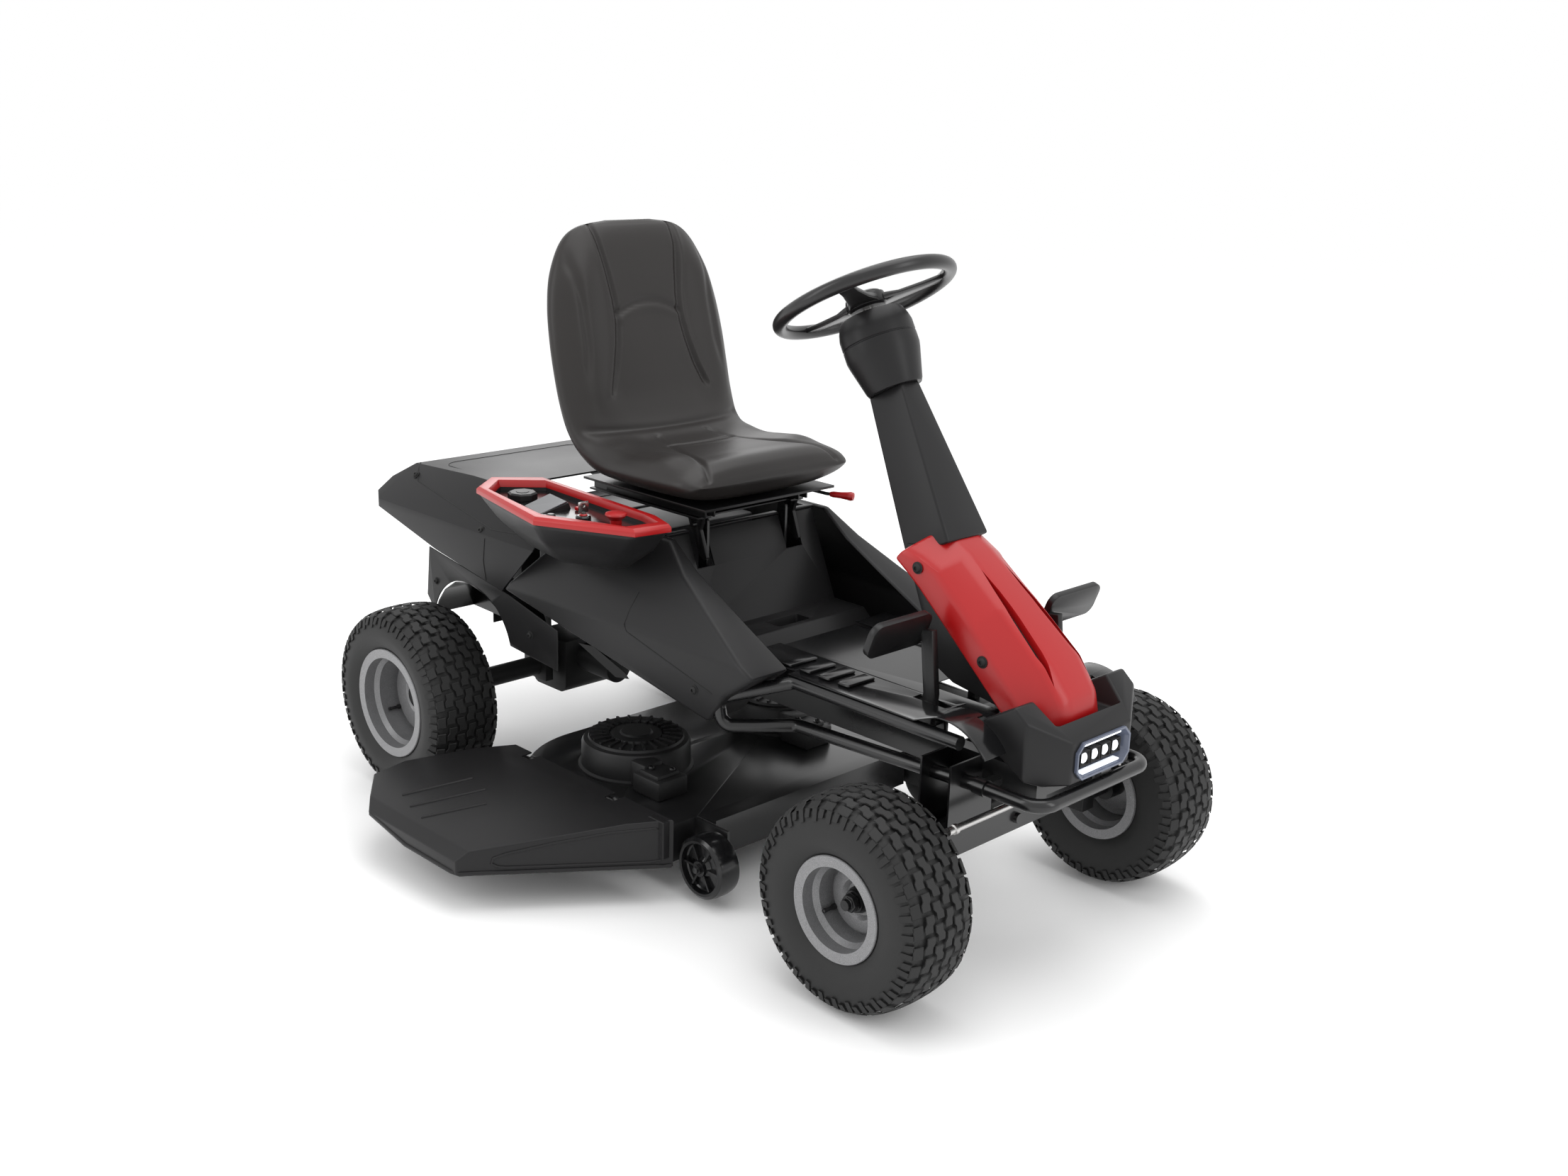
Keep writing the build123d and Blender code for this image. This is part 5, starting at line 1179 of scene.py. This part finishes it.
ROLLER_X, ROLLER_Y, ROLLER_Z = 826, 322, 76
for side_name, hand in (("left", 1), ("right", -1)):
    outline = [(6.2, 26), (15, 26), (16, 20), (22, 14), (44, 12), (47, 14), (49, 25), (54, 26), (60, 22),
        (62, 12), (62, -12), (60, -22), (54, -26), (16, -26), (6.2, -26)]
    body_roll = turned(f"roller_{side_name}_body", facing(hand, *outline),
        (ROLLER_X, hand * ROLLER_Y, ROLLER_Z), (0, 1, 0), 64)
    ribs = []
    for rib in range(6):
        a = math.pi * rib / 3
        out, aside = Vector((math.cos(a), math.sin(a))), Vector((-math.sin(a), math.cos(a)))
        rows = [[at(ROLLER_X + (out * r + aside * w).x, hand * (ROLLER_Y + d),
            ROLLER_Z + (out * r + aside * w).y) for r, w in ((14, -2), (46, -2), (46, 2), (14, 2))]
            for d in (11, 21)]
        ribs.append(lofted(f"roller_rib_{side_name}_{rib}", rows))
    roller = joined(f"deck_roller_{side_name}_moulding", body_roll, *ribs)
    finish_piece(smooth(roller, 35), f"roller_{side_name}", GLOSS_BLACK, [f"deck_roller_{side_name}"])
    bolt = turned(f"roller_bolt_{side_name}", facing(hand, (0.3, 20), (13, 20), (13, 23), (10, 24), (10, 31),
        (0.3, 32)), (ROLLER_X, hand * ROLLER_Y, ROLLER_Z), (0, 1, 0), 6)
    finish_piece(smooth(bolt), "deck", MECHANISM)

# ---- floor, pedals, frame and running gear -----------------------------------------
TIE_ROD_X, TIE_ROD_Z = 1320, 292
worn("footrest_pressing", "footrests", "chassis", GLOSS_BLACK, 1.2, 2)
worn("floor_ridges", "floor_pads", "chassis", GLOSS_BLACK, 3, 3)
worn("floor_tunnel_cover", "floor_tunnel", "chassis", GLOSS_BLACK, 1.8, 2)
worn("column_base_shell", "column_base", "chassis", CHARCOAL, 1.8, 2)
worn("seat_surround_plate", "seat_surround", "chassis", CHARCOAL, 1.5, 2)
worn("seat_front_moulding", "seat_front_panel", "chassis", CHARCOAL, 1.8, 2)
worn("frame_weldment", "frame", "chassis", FRAME_BLACK, 0.9, 1)
worn("wheel_guard_panels", "wheel_guards", "chassis", CHARCOAL, 0.9, 1)
worn("axle_beam_forging", "axle_beam", "front_axle", FRAME_BLACK, 1.5, 2)
worn("hitch_plate_bent", "hitch_plate", "chassis", FRAME_BLACK, 1.0, 2)
worn("battery_cases", "battery_packs", "chassis", BATTERY, 4, 3)
worn("controller_case", "motor_controller", "chassis", CAST, 1.2, 2)
worn("transaxle_case", "transaxle", "chassis", CAST, 2.5, 2)
worn("pitman_plate", "pitman_arm", "pitman", MECHANISM, 1, 2)
worn("seat_hinge_frame", "seat_hinge", "seat_frame", MECHANISM, 0.8, 2)
worn("seat_pan_pressing", "seat_pan", "seat", MECHANISM, 0.8, 2)
worn("drive_pedal_arm", "drive_pedal", "drive_pedal", MECHANISM, 2, 2)
worn("brake_pedal_arm", "brake_pedal", "brake_pedal", MECHANISM, 2, 2)
worn("lift_lever_arm", "lift_lever", "deck_lever", MECHANISM, 1, 2)
for side_name, hand in (("left", 1), ("right", -1)):
    worn(f"knuckle_{side_name}_forging", f"knuckle_{side_name}", f"knuckle_{side_name}", MECHANISM, 1.2, 2)
    worn(f"blade_{side_name}_ground", f"blade_{side_name}", f"blade_{side_name}", BLADE, 0.8, 1)
    rod = turned(f"tie_rod_{side_name}_bar", facing(hand, (0.3, 14), (6.5, 14), (6.5, 216), (9, 218),
        (9, 226), (7, 228), (7, 240), (0.3, 240)), (TIE_ROD_X, 0, TIE_ROD_Z), (0, 1, 0), 24)
    ends = [turned(f"tie_rod_{side_name}_end_{y}",
        [(0.3, -9), (9, -9), (12, -5), (13, 0), (12, 5), (9, 9), (5, 10), (5, 15), (0.3, 15)] if y > 100
        else [(0.3, -9), (9, -9), (11.5, -5), (12, 0), (11.5, 5), (9, 9), (0.3, 9)],
        (TIE_ROD_X, hand * y, TIE_ROD_Z), (0, 0, -1), 24) for y in (12, 262)]
    finish_piece(smooth(joined(f"tie_rod_{side_name}_turned", rod, *ends)), f"tie_rod_{side_name}", STEEL,
        [f"tie_rod_{side_name}"])
    # ribs across the pedal pads
    pedal, pivot_x, arm = ("drive_pedal", 1168, -192) if hand < 0 else ("brake_pedal", 1250, 192)
    for rib in range(5):
        reach = (rib - 2) * 11
        low = (pivot_x - 15 - 0.94 * 13.4 + 0.34 * reach, arm - 62, 583 + 0.34 * 13.4 + 0.94 * reach)
        high = (low[0], arm + 62, low[2])
        pad_rib = smooth(tube(f"pedal_rib_{side_name}_{rib + 1}", [low, high], 2.2, 8), 60)
        finish_piece(pad_rib, pedal, GRIP)
seat_lever = joined("seat_lever_rod", turned("lever_boss", [(3.1, -4), (9, -4), (9, 4), (3.1, 4)],
    (560, 160, 683), (0, 0, 1), 24), tube("lever_wire",
    [(560, 160, 683), (590, 172, 679), (616, 182, 676), (664, 204, 676)], 3.5, 12))
finish_piece(smooth(seat_lever, 50), "seat_release", MECHANISM, ["seat_lever"])
grip = turned("seat_lever_grip", [(0.3, 8), (5, 8), (6.4, 14), (6.6, 30), (8.5, 46), (9.4, 52), (8, 58),
    (0.3, 60)], (616, 182, 676), (48, 22, 0), 28)
finish_piece(smooth(grip, 45), "seat_release", RED)

# ---- what the CAD nodes that stay are made of --------------------------------------
for finish, node_names in ((FRAME_BLACK, ("side_rails", "front_bumper")), (STEEL, ("steering_shaft",)),
        (GRIP, ("brake_cable",))):
    for node_name in node_names:
        NODES[node_name].data.materials.clear()
        NODES[node_name].data.materials.append(finish)

deselect()
